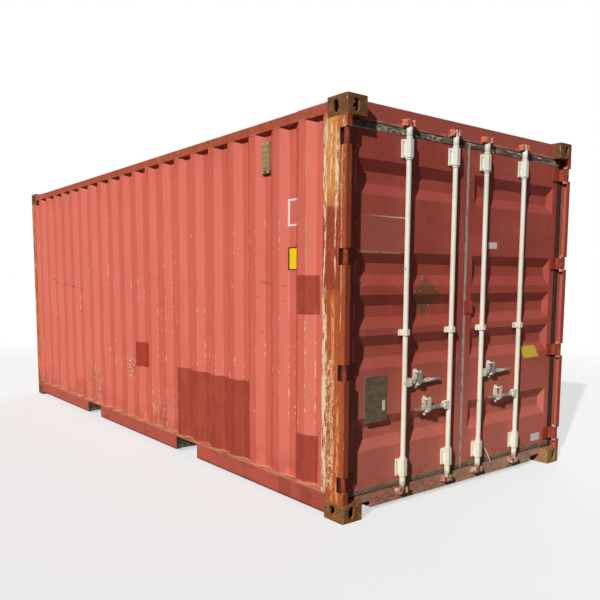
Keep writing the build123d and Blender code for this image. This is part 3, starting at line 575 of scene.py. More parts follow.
def wall_wear(coat, folds, plain):
    """Painted highlight on the sides of the folds that face +X and painted shade on those that face -X,
    chips along the folds, specks between and grime at the foot.
    """
    # Painted highlight on fold sides that face +X, painted shade on those that face -X.
    coat.lay(coat.facing("X").rise(0.20, 0.45) * plain, WALL_CHALK_AND_SHEEN, 0.14, 0.7)
    coat.lay(coat.facing("X").rise(-0.20, -0.45), WALL_DEEP, 0.35)
    region = coat.noise(0.45, (1.4, 1, 1), 6, 3).rise(0.50, 0.58)
    band = coat.z.rise(*WALL_CHIPS_LOWEST) * coat.z.rise(*WALL_CHIPS_HIGHEST)
    dotted = coat.noise(0.013, 2.4, 7, 8).rise(0.55, 0.60)
    coat.lay(folds * region * band * dotted * plain, FLAKE_CREAM, 0.85, 0.8, -0.0003)
    coat.lay(folds * coat.noise(0.05, 9, 8).rise(0.54, 0.68) * plain, WALL_CHALK_AND_SHEEN, 0.35, 0.75)
    coat.lay(folds * coat.noise(0.02, 3, 9).rise(0.66, 0.70), RUST_BROWN, 0.75, 0.9)
    coat.lay(coat.noise(0.008, 30, 10).rise(0.78, 0.80) * region * plain, FLAKE_CREAM, 0.6, 0.8)
    specks = coat.cells(0.11, 1.4, 11).rise(0.060, 0.040)
    coat.lay(specks * coat.noise(0.3, seed=12).rise(0.50, 0.56), RUST_BROWN, 0.8, 0.9, -0.0002)
    coat.lay(coat.cells(0.17, 1.8, 13).rise(0.040, 0.026) * plain, FLAKE_CREAM, 0.8)
    foot = coat.z.rise(*WALL_FOOT)
    coat.lay(foot * coat.noise(0.10, 1.2, 14, 3).rise(0.36, 0.70), FRAME_DEEP, 0.40, 0.85)
    coat.lay(coat.z.rise(*WALL_FOOT_LINE), RUST_TAN, 0.35, 0.85)
    coat.swell(coat.noise(0.55, 1.4, 15, 2), 0.014)
    coat.swell(coat.noise(0.10, 3.0, 16, 2), 0.0015)
    coat.swell(coat.noise(0.004, seed=17), 0.0002)


def wall_marks(coat):
    """Paint patches, scrapes and labels on the left wall; returns where chips don't show."""
    left = coat.y.rise(*LEFT_HALF) * coat.facing("Y").rise(0.0, -0.2)
    patches = []
    for number, (box, colour) in enumerate(WALL_PATCHES):
        mask = left * coat.patch(coat.x, box, 0.003, 0.022, 20 + number)
        patches.append(mask)
        coat.lay(mask, colour, 0.96, 0.5, 0.0003)
        coat.lay(mask * coat.noise(0.16, 1.6, 26 + number).rise(0.46, 0.64), WALL_RED, 0.16)
        dirt = coat.noise(0.03, 12, 30 + number).rise(0.54, 0.72)
        coat.lay(mask * dirt, SOOT, 0.16)
    mask = left * coat.patch(coat.x, ORANGE_PATCH, 0.010, 0.06, 34)
    coat.lay(mask, WALL_ORANGE, 0.55, 0.6)
    for number, (near, far, level, drop) in enumerate(SCRAPES):
        height = (coat.x - near) * (drop / (far - near))
        gap = abs(coat.z - level + height + coat.sway(0.12, 0.09, seed=35 + number))
        line = left * gap.rise(0.009, 0.004) * coat.x.within(near, far, 0.02)
        broken = coat.noise(0.05, (1.5, 1, 1), 38 + number).rise(0.40, 0.48)
        coat.lay(line * broken, RUST_BROWN, 0.80, 0.9, -0.0006)
    for number, box in enumerate(SMUDGES):
        spot = left * coat.patch(coat.x, box, 0.08, 0.10, 43 + number)
        dirt = coat.noise(0.05, 2, 45 + number).rise(0.40, 0.62)
        coat.lay(spot * dirt, RUST_BROWN, 0.45, 0.85)
        coat.lay(spot * coat.noise(0.014, 2.5, 47 + number, 8).rise(0.59, 0.63), FLAKE_CREAM, 0.70, 0.8)
    cluster = left * coat.patch(coat.x, SPECK_CLUSTER, 0.05)
    coat.lay(cluster * coat.noise(0.02, seed=49).rise(0.42, 0.56), RUST_BROWN, 0.55, 0.85)
    coat.lay(cluster * coat.cells(0.022, seed=41).rise(0.38, 0.28), FLAKE_CREAM, 0.85, 0.8)
    outline = coat.patch(coat.x, LABEL_FRAME) - coat.patch(coat.x, LABEL_FRAME_INSIDE)
    coat.lay(left * outline, LABEL_WHITE, 0.85, 0.5, 0.0002)
    border = left * coat.patch(coat.x, YELLOW_LABEL)
    coat.lay(border, SOOT, 0.9, 0.45, 0.0003)
    label = left * coat.patch(coat.x, YELLOW_LABEL_INSIDE)
    coat.lay(label, LABEL_YELLOW, 0.96, 0.42)
    coat.lay(border * coat.noise(0.03, 1, 42, 6).rise(0.62, 0.68), WALL_DEEP, 0.45)
    return union(patches) * 0.8 | border


def wall_coat(name, low_x, high_x, marked):
    """The whole finish of a side wall."""
    coat = wall_paint(name)
    plain = 1.0 - wall_marks(coat) if marked else 1.0
    wall_wear(coat, fold_edges(coat, low_x, high_x), plain)
    return coat.finish(specular=WALL_GLOSS)


def front_wall_coat():
    """The same paint on the closed end, worn along its own folds."""
    coat = wall_paint("wall_paint_front")
    wall_wear(coat, coat.edges(0.006), 1.0)
    return coat.finish(specular=WALL_GLOSS)


def rail_coat():
    """Red paint on rails, with rusty edges and a tan upper edge."""
    coat = Coat("rail_paint", FRAME_RED, 0.66)
    coat.lay(coat.noise(0.7, (1.5, 1, 1), 51, 3).rise(0.42, 0.65), WALL_RED, 0.40)
    coat.lay(coat.noise(0.09, (3, 1, 1), 52).rise(0.50, 0.72), FRAME_DEEP, 0.55)
    coat.lay(coat.noise(0.012, 7, 53).rise(0.58, 0.72), FRAME_DEEP, 0.40)
    darker = union([coat.patch(coat.x, box, 0.004, 0.02, 54) for box in RAIL_PATCHES])
    coat.lay(darker, FRAME_DEEP, 0.55)
    head = coat.z.rise(*RAIL_HEAD)
    coat.lay(head * coat.noise(0.10, (0.5, 1, 1), 63, 6).rise(0.40, 0.60), POST_RED, 0.75, 0.8)
    coat.lay(head * coat.noise(0.03, (0.6, 1, 1), 64, 8).rise(0.52, 0.60), RUST_BROWN, 0.65, 0.85)
    near = coat.x.rise(*RAIL_REAR)
    lower = coat.z.rise(*RAIL_LOWER)
    coat.lay(near * lower, FRAME_DEEP, 0.55)
    coat.rust(coat.edges(0.005) * coat.noise(0.06, (2, 1, 1), 55).rise(0.44, 0.54), 56, 0.02)
    coat.rust(coat.noise(0.04, (2.2, 1, 1), 57, 6).rise(0.63, 0.67), 58, 0.015)
    upper = coat.z.rise(*RAIL_UPPER_EDGE) * lower
    coat.lay(upper * coat.noise(0.05, (2, 1, 1), 59).rise(0.32, 0.52), RUST_TAN, 0.55, 0.9)
    coat.lay(coat.noise(0.014, (12, 1, 1), 60, 6).rise(0.64, 0.68), WALL_CHALK_AND_SHEEN, 0.55)
    coat.lay(coat.z.rise(*RAIL_UNDERSIDE), RUST_DARK, 0.6, 0.9)
    coat.swell(coat.noise(0.30, (3, 1, 1), 61, 2), 0.005)
    coat.swell(coat.noise(0.004, seed=62), 0.0003)
    return coat.finish()


def drips(coat, column, half, low, high, seed):
    """Broken runs of primer down one column of a post."""
    aside = abs(coat.x + coat.sway(0.04, 0.20, 1.4, seed, 3) - column)
    run = aside.rise(half, half * 0.4) * coat.z.within(low, high, 0.06)
    broken = coat.noise(0.014, 5, seed + 1, 8).rise(0.44, 0.50)
    return run * broken


def scratched(coat, box, seed):
    """Thin curved scratches down to the primer, inside a box."""
    place = coat.patch(coat.x, box, 0.02, 0.04, seed)
    lines = []
    for number, size in enumerate((0.05, 0.03)):
        field = coat.sway(1.0, size, 1.5, seed + 1 + number, 2)
        lines.append(abs(field).rise(0.020, 0.006))
    return place * union(lines)


def post_coat():
    """A door post rubbed down to rust, with runs of cream primer and what is left of the paint, and
    painted shade on the left post's end and inner faces and in the right post's channel.
    """
    coat = Coat("post_finish", POST_RED, 0.78)
    coat.lay(coat.noise(0.05, 7, 71, 8).rise(0.46, 0.62), POST_BROWN, 0.55, 0.8)
    coat.lay(coat.noise(0.016, 12, 73, 8).rise(0.54, 0.66), NEWER_RED_AND_SHADE, 0.45, 0.9)
    high = coat.z.rise(*POST_HEAD)
    middle = coat.x.within(*POST_MIDDLE, 0.012)
    coat.lay(coat.z.rise(*POST_HEAD_EDGE) * middle, RUST_ORANGE, 0.65, 0.85)
    coat.lay(high * middle, POST_GOLD, 0.85, 0.85)
    coat.lay(high * coat.noise(0.02, 6, 74, 8).rise(0.50, 0.58), RUST_ORANGE, 0.60, 0.85)
    coat.lay(high * coat.noise(0.012, 9, 78, 8).rise(0.54, 0.62), FLAKE_CREAM, 0.70, 0.85)
    coat.lay(high * coat.noise(0.014, 2.6, 76, 8).rise(0.58, 0.63), RUST_DARK, 0.65, 0.9)
    paint = coat.z.within(*POST_PAINT, 0.006) * coat.x.rise(*POST_PAINT_END)
    coat.lay(paint * coat.noise(0.02, 4, 75, 8).rise(0.60, 0.57), NEWER_RED_AND_SHADE, 0.95, 0.5, 0.0004)
    for *run, colour in POST_DRIPS:
        coat.lay(drips(coat, *run), colour, 0.92, 0.75, 0.0005)
    coat.lay(scratched(coat, POST_SCRATCHED, 77), FLAKE_CREAM, 0.85, 0.75)
    coat.lay(coat.noise(0.006, 14, 79, 6).rise(0.62, 0.68), RUST_TAN, 0.60, 0.8)
    coat.lay(coat.noise(0.010, 2, 80, 8).rise(0.66, 0.69), FLAKE_CREAM, 0.80, 0.8)
    coat.lay(coat.x.rise(*POST_RIM) * coat.noise(0.03, 5, 81).rise(0.40, 0.56), RUST_BROWN, 0.70, 0.85)
    right = coat.y.rise(*RIGHT_HALF)
    coat.lay(right * coat.noise(0.05, 5, 83).rise(0.64, 0.54), DOOR_RED, 0.80, 0.65)
    depth = abs(coat.y)
    left = 1.0 - right
    # Painted shade: the left post's faces that look along +X are laid darker.
    end_face_shade = left * coat.facing("X").rise(0.5, 0.8)
    coat.lay(end_face_shade, NEWER_RED_AND_SHADE, 0.65, 0.8)
    # Painted shade: the left post's faces inside the lip and the right post's channel front are laid near
    # black; the right post's other inner faces take the doors' red.
    hidden = depth.rise(*POST_HIDDEN_ACROSS) * coat.x.rise(*POST_HIDDEN_ALONG)
    coat.lay(hidden * left, POST_SHADED, 0.90, 0.9)
    coat.lay(hidden * right, DOOR_FADED, 0.80, 0.7)
    deep = right * depth.rise(*POST_DEEP_ACROSS) * coat.x.rise(*POST_DEEP_ALONG)
    coat.lay(deep, POST_SHADED, 0.95, 0.9)
    coat.swell(coat.noise(0.010, 3, 82, 8), 0.0012)
    return coat.finish()


def front_post_coat():
    """Red paint with rust and worn edges, on the posts at the closed end."""
    coat = Coat("front_post_paint", FRAME_RED, 0.66)
    coat.lay(coat.noise(0.4, 2, 91, 3).rise(0.45, 0.65), WALL_RED, 0.5)
    coat.lay(coat.noise(0.06, 7, 98, 8).rise(0.44, 0.56), POST_BROWN, 0.80, 0.8)
    coat.lay(coat.noise(0.03, 9, 99, 8).rise(0.52, 0.60), POST_GOLD, 0.75, 0.8)
    coat.rust(coat.noise(0.035, 8, 92, 8).rise(0.50, 0.57), 93, 0.02)
    coat.lay(coat.noise(0.016, 9, 94, 8).rise(0.58, 0.62), FLAKE_CREAM, 0.75, 0.8)
    coat.rust(coat.edges(0.005) * coat.noise(0.05, 3, 95).rise(0.42, 0.5), 96, 0.02)
    coat.swell(coat.noise(0.006, seed=97), 0.0005)
    return coat.finish()


def casting_coat():
    """Rusty cast steel with remains of paint."""
    coat = Coat("cast_steel", CASTING_BROWN, 0.85)
    coat.lay(coat.noise(0.06, seed=101, detail=8).rise(0.45, 0.62), RUST_DARK, 0.45, 0.9)
    coat.lay(coat.noise(0.04, seed=102, detail=8).rise(0.50, 0.64), RUST_ORANGE, 0.40, 0.85)
    coat.lay(coat.noise(0.07, seed=103, detail=6).rise(0.58, 0.64), POST_RED, 0.55, 0.7, 0.0003)
    coat.lay(coat.z.rise(*CASTINGS_UPPER), CASTING_OLIVE, 0.60)
    coat.lay(coat.z.rise(*CASTINGS_LOWER) * coat.y.rise(*CASTINGS_RIGHT), RUST_TAN, 0.32)
    coat.lay(coat.edges(0.008) * coat.noise(0.03, seed=104).rise(0.42, 0.58), RUST_TAN, 0.55, 0.6)
    coat.lay(coat.noise(0.012, 3, 105, 8).rise(0.63, 0.67), FLAKE_CREAM, 0.6)
    coat.swell(coat.noise(0.02, seed=106, detail=6), 0.002)
    coat.swell(coat.noise(0.003, seed=107), 0.0004)
    return coat.finish()


def door_coat(marked):
    """Dark red paint on doors, header and sill, with painted shade on faces that look down, and the marks
    on the leaves if asked.
    """
    coat = Coat("door_paint_marked" if marked else "door_paint", DOOR_RED, 0.55)
    coat.lay(coat.noise(0.7, (1, 1.3, 1), 111, 3).rise(0.42, 0.66), DOOR_FADED, 0.5, 0.62)
    coat.lay(coat.noise(0.20, 1.5, 112).rise(0.52, 0.74), DOOR_DEEP, 0.35)
    coat.lay(coat.noise(0.025, 14, 113).rise(0.56, 0.76), DOOR_DEEP, 0.35, 0.68)
    coat.lay(coat.noise(0.05, 5, 114).rise(0.56, 0.76), DOOR_FADED, 0.35)
    # Painted shade on faces that look down, such as the upper slopes of the recesses.
    coat.lay(coat.facing("Z").rise(-0.12, -0.40), DOOR_UNDERSIDE_SHADE, 0.20)
    coat.lay(coat.z.rise(*DOOR_LOWER_HALF), DOOR_PALE, 0.62)
    if marked:
        door_marks(coat)
    worn = coat.noise(0.04, (1, 2, 2), 115, 6).rise(0.54, 0.60)
    coat.lay(coat.edges(0.004) * worn, WALL_CHALK_AND_SHEEN, 0.45, 0.8)
    coat.rust(coat.edges(0.005) * coat.noise(0.03, (1, 2, 2), 116, 6).rise(0.62, 0.66), 117, 0.015)
    coat.lay(coat.cells(0.13, seed=118).rise(0.036, 0.026), FLAKE_CREAM, 0.7, 0.8)
    foot = coat.z.rise(*DOOR_FOOT)
    coat.lay(foot * coat.noise(0.05, (1, 2, 1.2), 119).rise(0.42, 0.64), DOOR_GRIME, 0.50, 0.85)
    low = coat.z.rise(*SILL_LEVEL)
    coat.lay(low * coat.noise(0.16, (1, 2.2, 0.6), 120).rise(0.30, 0.72), DOOR_GRIME, 0.50, 0.9)
    coat.lay(low * coat.noise(0.03, (1, 2, 0.7), 125).rise(0.34, 0.72), SILL_DUST, 0.55, 0.9)
    rightward = coat.y.rise(*SILL_RIGHTWARD)
    coat.lay(low * rightward * coat.noise(0.05, (1, 1.5, 1), 123).rise(0.24, 0.66), SILL_DUST, 0.70, 0.9)
    coat.lay(coat.z.rise(*HEADER_LEVEL), DOOR_FADED, 0.50)
    rubbed = coat.noise(0.05, (1, 3, 0.5), 124).rise(0.46, 0.60)
    coat.lay(coat.z.within(*HEADER_RUBBED, 0.004) * rubbed, SILL_DUST, 0.55, 0.85)
    coat.swell(coat.noise(0.4, 1, 121, 2), 0.008)
    coat.swell(coat.noise(0.004, seed=122), 0.0002)
    return coat.finish(specular=DOOR_GLOSS)


def door_marks(coat):
    """What is painted, stuck or worn on the two leaves."""
    outer = coat.facing("X").rise(0.0, 0.2)
    over = outer * coat.patch(coat.y, OVERPAINT, 0.004, 0.012, 131)
    tone = coat.noise(0.25, (1, 2, 1), 132).rise(0.35, 0.65)
    coat.lay(over, DOOR_OVERPAINT, 0.55, 0.42, 0.0003)
    coat.lay(over * tone, DOOR_FADED, 0.35)
    left, right, low, high = OVERPAINT
    flaky = coat.noise(0.02, (1, 3, 1), 133, 6).rise(0.44, 0.50)
    lower = coat.patch(coat.y, (left, right, low - 0.006, low + 0.004), 0.002, 0.006, 134)
    coat.lay(outer * lower * (flaky | coat.y.rise(right, left)), FLAKE_CREAM, 0.85, 0.8)
    upper = coat.patch(coat.y, (left, right, high - 0.004, high + 0.004), 0.002, 0.010, 135)
    coat.lay(outer * upper * coat.y.rise(left, right), FLAKE_CREAM, 0.9, 0.8)
    across, up = RESIDUE_CENTRE
    half_across, half_up = RESIDUE_REACH
    reach = abs(coat.y - across) / half_across + abs(coat.z - up) / half_up
    shaken = reach + coat.sway(0.5, 0.03, seed=136)
    residue = outer * shaken.rise(1.12, 0.92)
    coat.lay(residue, DOOR_GRIME, 0.75, 0.85, 0.0004)
    coat.lay(residue * coat.noise(0.010, seed=137, detail=6).rise(0.48, 0.56), RUST_DARK, 0.35)
    specks = coat.cells(0.035, seed=138).rise(0.16, 0.11)
    rim = shaken.rise(0.45, 0.85) * shaken.rise(1.25, 1.10)
    coat.lay(outer * rim * specks, FLAKE_CREAM, 0.9)
    for near, far, foot, head in DOOR_SCRATCHES:
        line = coat.patch(coat.y, (near, far, foot, head), 0.0015, 0.004, 139)
        coat.lay(outer * line, FLAKE_CREAM, 0.85)


def gear_coat():
    """Cream paint on lock rods, brackets and retainers, dull in places and rusty at both ends."""
    coat = Coat("gear_paint", GEAR_CREAM, 0.45)
    coat.lay(coat.z.rise(*GEAR_UPPER), GEAR_COOL, 0.8)
    coat.lay(coat.noise(0.12, 3, 141).rise(0.45, 0.70), GEAR_DULL, 0.5, 0.6)
    coat.lay(coat.noise(0.010, 14, 142).rise(0.58, 0.74), DUST, 0.40, 0.65)
    coat.lay(coat.cells(0.05, 2, 143).rise(0.11, 0.07), RUST_BROWN, 0.7, 0.85, -0.0002)
    edges = coat.edges(0.003) * coat.noise(0.02, seed=144, detail=6).rise(0.48, 0.56)
    coat.lay(edges, RUST_BROWN, 0.55, 0.8)
    cover = coat.z.rise(*GEAR_HEAD)
    coat.lay(cover * coat.noise(0.02, seed=145).rise(0.44, 0.54), DOOR_RED, 0.8)
    ends = coat.z.rise(*GEAR_FOOT) | cover
    coat.rust(ends * coat.noise(0.015, 2, 146, 6).rise(0.44, 0.52), 147, 0.012)
    coat.swell(coat.noise(0.003, seed=148), 0.0003)
    return coat.finish(specular=GEAR_GLOSS)


def keeper_coat():
    """Worn red paint with rust and pale chips, on keepers and hinge lugs."""
    coat = Coat("worn_steel", KEEPER_RED, 0.65)
    coat.rust(coat.noise(0.025, seed=151, detail=6).rise(0.56, 0.62), 152, 0.015)
    low = coat.z.rise(*KEEPERS_LOWER)
    coat.lay(low * coat.noise(0.03, seed=155).rise(0.40, 0.52), RUST_BROWN, 0.70, 0.85)
    coat.lay(coat.noise(0.012, seed=153, detail=6).rise(0.54, 0.60), FLAKE_CREAM, 0.75, 0.8)
    coat.lay(low * coat.noise(0.02, seed=156).rise(0.50, 0.58), GEAR_DULL, 0.75, 0.7)
    coat.swell(coat.noise(0.006, seed=154), 0.0008)
    return coat.finish()


def blade_coat():
    """Hinge blades: dark paint with rust around the knuckles."""
    coat = Coat("blade_paint", DOOR_DEEP, 0.6)
    coat.lay(coat.noise(0.04, 2, 161).rise(0.42, 0.6), POST_RED, 0.6)
    coat.rust(coat.edges(0.005) * coat.noise(0.02, seed=162).rise(0.40, 0.55), 163, 0.012)
    knuckle = coat.x.rise(*BLADE_KNUCKLE) * coat.noise(0.02, 3, 164).rise(0.42, 0.56)
    coat.lay(knuckle, RUST_DARK, 0.6, 0.85)
    coat.swell(coat.noise(0.005, seed=165), 0.0006)
    return coat.finish()


def handle_coat():
    """Worn cream paint on handles and catches that turns to bare grey steel at the grips."""
    coat = Coat("handle_paint", GEAR_DULL, 0.5)
    coat.lay(coat.noise(0.02, (1, 3, 1), 171).rise(0.45, 0.65), GEAR_CREAM, 0.6)
    grips = union([coat.y.within(near, far, 0.004) for near, far in GRIPS])
    coat.lay(grips, ZINC_DARK, 0.75, 0.42)
    coat.lay(coat.noise(0.010, seed=172, detail=6).rise(0.54, 0.62), ZINC_DARK, 0.42)
    coat.lay(coat.edges(0.003) * coat.noise(0.012, seed=173).rise(0.45, 0.6), RUST_DARK, 0.6, 0.85)
    coat.lay(coat.noise(0.014, seed=174, detail=6).rise(0.62, 0.66), RUST_BROWN, 0.75, 0.85)
    coat.swell(coat.noise(0.004, seed=175), 0.0004)
    return coat.finish(metallic=0.15, specular=GEAR_GLOSS)


def gasket_coat():
    """Old rubber: grey in the middle, pale and flaking along the top, brown with dirt at the foot."""
    coat = Coat("old_rubber", RUBBER_GREY, 0.85)
    coat.lay(coat.noise(0.02, (1, 1.5, 3), 181, 6).rise(0.44, 0.56), RUBBER_DARK, 0.75)
    centre = coat.y.within(*GASKET_MIDDLE, 0.004)
    coat.lay(centre, RUBBER_PALE, 0.85)
    coat.lay(centre * coat.noise(0.012, 5, 182, 6).rise(0.54, 0.60), RUBBER_DARK, 0.65)
    top = coat.z.rise(*GASKET_HEAD)
    coat.lay(top * coat.noise(0.018, (1, 5, 1), 183, 8).rise(0.47, 0.53), RUBBER_PALE, 0.92)
    lower = coat.z.rise(*GASKET_HEAD_EDGE) * top
    coat.lay(lower * coat.noise(0.05, (1, 4, 1), 184).rise(0.38, 0.50), LABEL_WHITE, 0.6)
    foot = coat.z.rise(*GASKET_FOOT)
    coat.lay(foot, RUBBER_DIRT, 0.85, 0.9)
    coat.lay(foot * coat.noise(0.02, (1, 4, 1), 185, 8).rise(0.50, 0.58), RUBBER_PALE, 0.55)
    coat.lay(abs(coat.y).rise(*GASKET_SIDE), SOOT, 0.7)
    coat.swell(coat.noise(0.010, (1, 2, 2), 186, 6), 0.002)
    return coat.finish()


def trim_coat(name, upper):
    """Old seal that has gone hard: pale flakes over grey at the head, grey-brown with dirt at the foot."""
    coat = Coat(name, RUBBER_GREY if upper else RUBBER_DIRT, 0.85)
    coat.lay(coat.noise(0.05, (1, 3, 1), 401, 6).rise(0.46, 0.60), RUBBER_DARK, 0.80 if upper else 0.25)
    flaky = coat.noise(0.012, (1, 3.5, 1), 402, 8).rise(0.50, 0.58)
    region = coat.noise(0.12, (1, 2, 1), 403).rise(0.44, 0.52)
    coat.lay(flaky * region, FLAKE_CREAM if upper else DUST, 0.75)
    coat.lay(coat.noise(0.006, (1, 16, 1), 404).rise(0.56, 0.66), RUBBER_DARK, 0.55)
    if upper:
        rim = (coat.z - TRIM_HEAD[0]).rise(*TRIM_RIM)
        far = abs(coat.y).rise(*TRIM_OUTER)
        coat.lay(rim * far, LABEL_WHITE, 0.80)
        coat.lay(rim * (1.0 - far), RUBBER_DARK, 0.60)
    coat.swell(coat.noise(0.008, (1, 3, 1), 405, 6), 0.002)
    return coat.finish()


def vent_coat():
    """Dusty tan covers with a dark lower part, which is painted shade."""
    coat = Coat("vent_finish", VENT_TAN, 0.7)
    coat.lay(coat.noise(0.04, 2, 191).rise(0.45, 0.65), RUST_TAN, 0.4)
    coat.lay(coat.noise(0.012, 6, 192).rise(0.56, 0.68), VENT_DARK, 0.5)
    coat.lay(coat.edges(0.004) * coat.noise(0.02, seed=193).rise(0.40, 0.55), VENT_DARK, 0.7)
    # Painted shade on the lower part of the covers.
    coat.lay(coat.z.rise(*VENT_FOOT), VENT_DARK, 0.7)
    coat.swell(coat.noise(0.005, seed=194), 0.0004)
    return coat.finish()


def roof_coat():
    """Red paint on the roof, chalky, with dirt lying in the troughs."""
    coat = Coat("roof_paint", WALL_RED, 0.7)
    coat.lay(coat.noise(0.8, (1, 1.5, 1), 201, 3).rise(0.42, 0.66), WALL_FADED, 0.6)
    low = coat.z.rise(*ROOF_TROUGHS)
    coat.lay(low * coat.noise(0.12, (1, 4, 1), 202, 6).rise(0.40, 0.62), DUST, 0.55, 0.9)
    coat.rust(coat.noise(0.06, (1, 1.5, 1), 203, 8).rise(0.60, 0.66), 204)
    coat.lay(coat.edges(0.008) * coat.noise(0.08, (1, 3, 1), 205, 6).rise(0.50, 0.60), WALL_CHALK_AND_SHEEN, 0.6)
    coat.swell(coat.noise(0.6, seed=206, detail=2), 0.006)
    coat.swell(coat.noise(0.005, seed=207), 0.0004)
    return coat.finish()


def plywood_coat():
    """Floor boards: grain along the container, scuffs and stains."""
    coat = Coat("floor_plywood", PLY_BROWN, 0.7)
    coat.lay(coat.noise(0.012, (30, 1, 1), 211, 6).rise(0.44, 0.62), PLY_DARK, 0.7)
    coat.lay(coat.noise(0.35, (2, 1, 1), 212).rise(0.52, 0.70), PLY_DARK, 0.6, 0.6)
    coat.lay(coat.noise(0.02, (8, 1, 1), 213).rise(0.62, 0.70), DUST, 0.6)
    coat.swell(coat.noise(0.006, (20, 1, 1), 214), 0.0006)
    return coat.finish()


def underside_coat():
    """Grey-green coating under the floor, with dust and rust."""
    coat = Coat("under_coating", UNDER_GREEN, 0.85)
    coat.lay(coat.noise(0.15, seed=221).rise(0.45, 0.65), SOOT, 0.5)
    low = coat.z.rise(*UNDERSIDE_LOWEST)
    coat.lay(low * coat.noise(0.05, seed=222).rise(0.35, 0.55), UNDER_PALE, 0.8)
    coat.rust(coat.noise(0.06, seed=223, detail=6).rise(0.60, 0.66), 224)
    coat.swell(coat.noise(0.01, seed=225), 0.001)
    return coat.finish()


def label_coat(name, colour):
    """A plain printed sheet, scuffed and a little dirty."""
    coat = Coat(name, colour, 0.5)
    coat.lay(coat.noise(0.03, seed=231).rise(0.50, 0.70), DUST, 0.45, 0.6)
    coat.lay(coat.noise(0.012, 2, 232, 6).rise(0.62, 0.66), DOOR_DEEP, 0.7)
    coat.swell(coat.noise(0.01, seed=233), 0.0003)
    return coat.finish()


def plate_coat():
    """A dull grey data plate with nothing on it but grime."""
    coat = Coat("plate_metal", PLATE_GREY, 0.6)
    coat.lay(coat.noise(0.03, (1, 2, 1), 241).rise(0.45, 0.62), SOOT, 0.30)
    coat.lay(coat.noise(0.006, (1, 3, 1), 242).rise(0.52, 0.66), PLATE_DARK, 0.45)
    coat.lay(coat.edges(0.004), DUST, 0.4)
    coat.swell(coat.noise(0.005, (1, 3, 1), 243), 0.0004)
    return coat.finish(metallic=0.2)


def floor_coat():
    """Pale studio floor that turns into plain white further out and keeps the shadow."""
    coat = Coat("studio_floor", FLOOR_PALE, 0.9)
    path = coat.add("ShaderNodeLightPath")
    camera, glossy = [Value(coat, path.outputs[name]) for name in ("Is Camera Ray", "Is Glossy Ray")]
    seen = camera | glossy
    coat.lay(1.0 - seen, FLOOR_DULL)
    material = coat.finish(specular=FLOOR_GLOSS)
    reach = coat.calc("SQRT", coat.x * coat.x + coat.y * coat.y)
    glow = coat.blend(reach.rise(FLOOR_PALE_FROM, FLOOR_PALE_TO), FLOOR_GLOW, 1.0)
    white = coat.add("ShaderNodeEmission")
    white.inputs["Strength"].default_value = 1.0
    mix = coat.add("ShaderNodeMixShader")
    coat.put(glow * seen, mix.inputs[0])
    coat.put(coat.shader.outputs[0], mix.inputs[1])
    coat.put(white.outputs[0], mix.inputs[2])
    coat.put(mix.outputs[0], coat.output.inputs["Surface"])
    return material


class Shape:
    """Points and faces that are gathered into one mesh."""

    def __init__(self):
        self.points = []
        self.faces = []

    def join(self, start, rings, steps):
        """Faces between rings of points that follow each other."""
        for ring in range(rings - 1):
            for step in range(steps):
                a = start + ring * steps + step
                b = start + ring * steps + (step + 1) % steps
                self.faces.append((a, b, b + steps, a + steps))

    def lathe(self, place, profile, steps=16, axis="X"):
        """Turns a profile of (radius, height) about an axis through the place."""
        start = len(self.points)
        for radius, height in profile:
            for step in range(steps):
                turn = 2 * math.pi * step / steps
                first = radius * math.cos(turn)
                second = radius * math.sin(turn)
                offset = (height, first, second)
                if axis == "Y":
                    offset = (second, height, first)
                if axis == "Z":
                    offset = (first, second, height)
                self.points.append(Vector(place) + Vector(offset))
        self.join(start, len(profile), steps)
        last = start + (len(profile) - 1) * steps
        self.faces.append([start + step for step in reversed(range(steps))])
        self.faces.append([last + step for step in range(steps)])

    def tube(self, route, radii, up=(0, 0, 1), steps=6):
        """A tube along a route in the plane that up stands on, with its own radius at each point."""
        start = len(self.points)
        for number, (place, radius) in enumerate(zip(route, radii)):
            before = route[max(number - 1, 0)]
            after = route[min(number + 1, len(route) - 1)]
            side = Vector(up).cross((after - before).normalized())
            for step in range(steps):
                turn = 2 * math.pi * step / steps
                offset = side * math.cos(turn) + Vector(up) * math.sin(turn)
                self.points.append(place + offset * radius)
        self.join(start, len(route), steps)

    def ribbon(self, edges, back, front):
        """A thin strip across a leaf, given its place, foot and head at each step along it."""
        start = len(self.points)
        for across, foot, head in edges:
            inset = (head - foot) * RIBBON_INSET
            for x, z in ((back, foot), (front, foot + inset), (front, head - inset), (back, head)):
                self.points.append(Vector((x, across, z)))
        for number in range(len(edges) - 1):
            for step in range(3):
                a = start + number * 4 + step
                self.faces.append((a, a + 4, a + 5, a + 1))
        last = start + (len(edges) - 1) * 4
        self.faces.append([start + 3, start + 2, start + 1, start])
        self.faces.append([last, last + 1, last + 2, last + 3])

    def slab(self, corners, depth, inset):
        """A thin plate on four corners in the X plane, with edges that slope in towards its face."""
        start = len(self.points)
        middle = sum((Vector(corner) for corner in corners), Vector()) / 4
        for rise, share in ((0.0, 0.0), (depth * 0.5, 0.0), (depth, inset)):
            for corner in corners:
                inward = (middle - Vector(corner)).normalized() * share
                self.points.append(Vector(corner) + inward + Vector((rise, 0, 0)))
        self.join(start, 3, 4)
        self.faces.append([start + 3, start + 2, start + 1, start])
        self.faces.append([start + 8, start + 9, start + 10, start + 11])

    def piece(self, name, body, slot, material, smooth=False):
        """The mesh as an object that rides on a body."""
        mesh = bpy.data.meshes.new(name)
        mesh.from_pydata([tuple(point) for point in self.points], [], self.faces)
        mesh.validate()
        mesh.materials.append(material)
        if smooth:
            mesh.shade_smooth()
        piece = bpy.data.objects.new(name, mesh)
        bpy.context.scene.collection.objects.link(piece)
        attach(piece, body)
        return piece


def dress(names, material):
    """Gives CAD nodes a finish."""
    for name in names:
        node = frame["nodes"][name]
        node.data.materials.clear()
        node.data.materials.append(material)


def both_sides(*names):
    """Node names for left and right."""
    return [name + side for name in names for side in ("left", "right")]


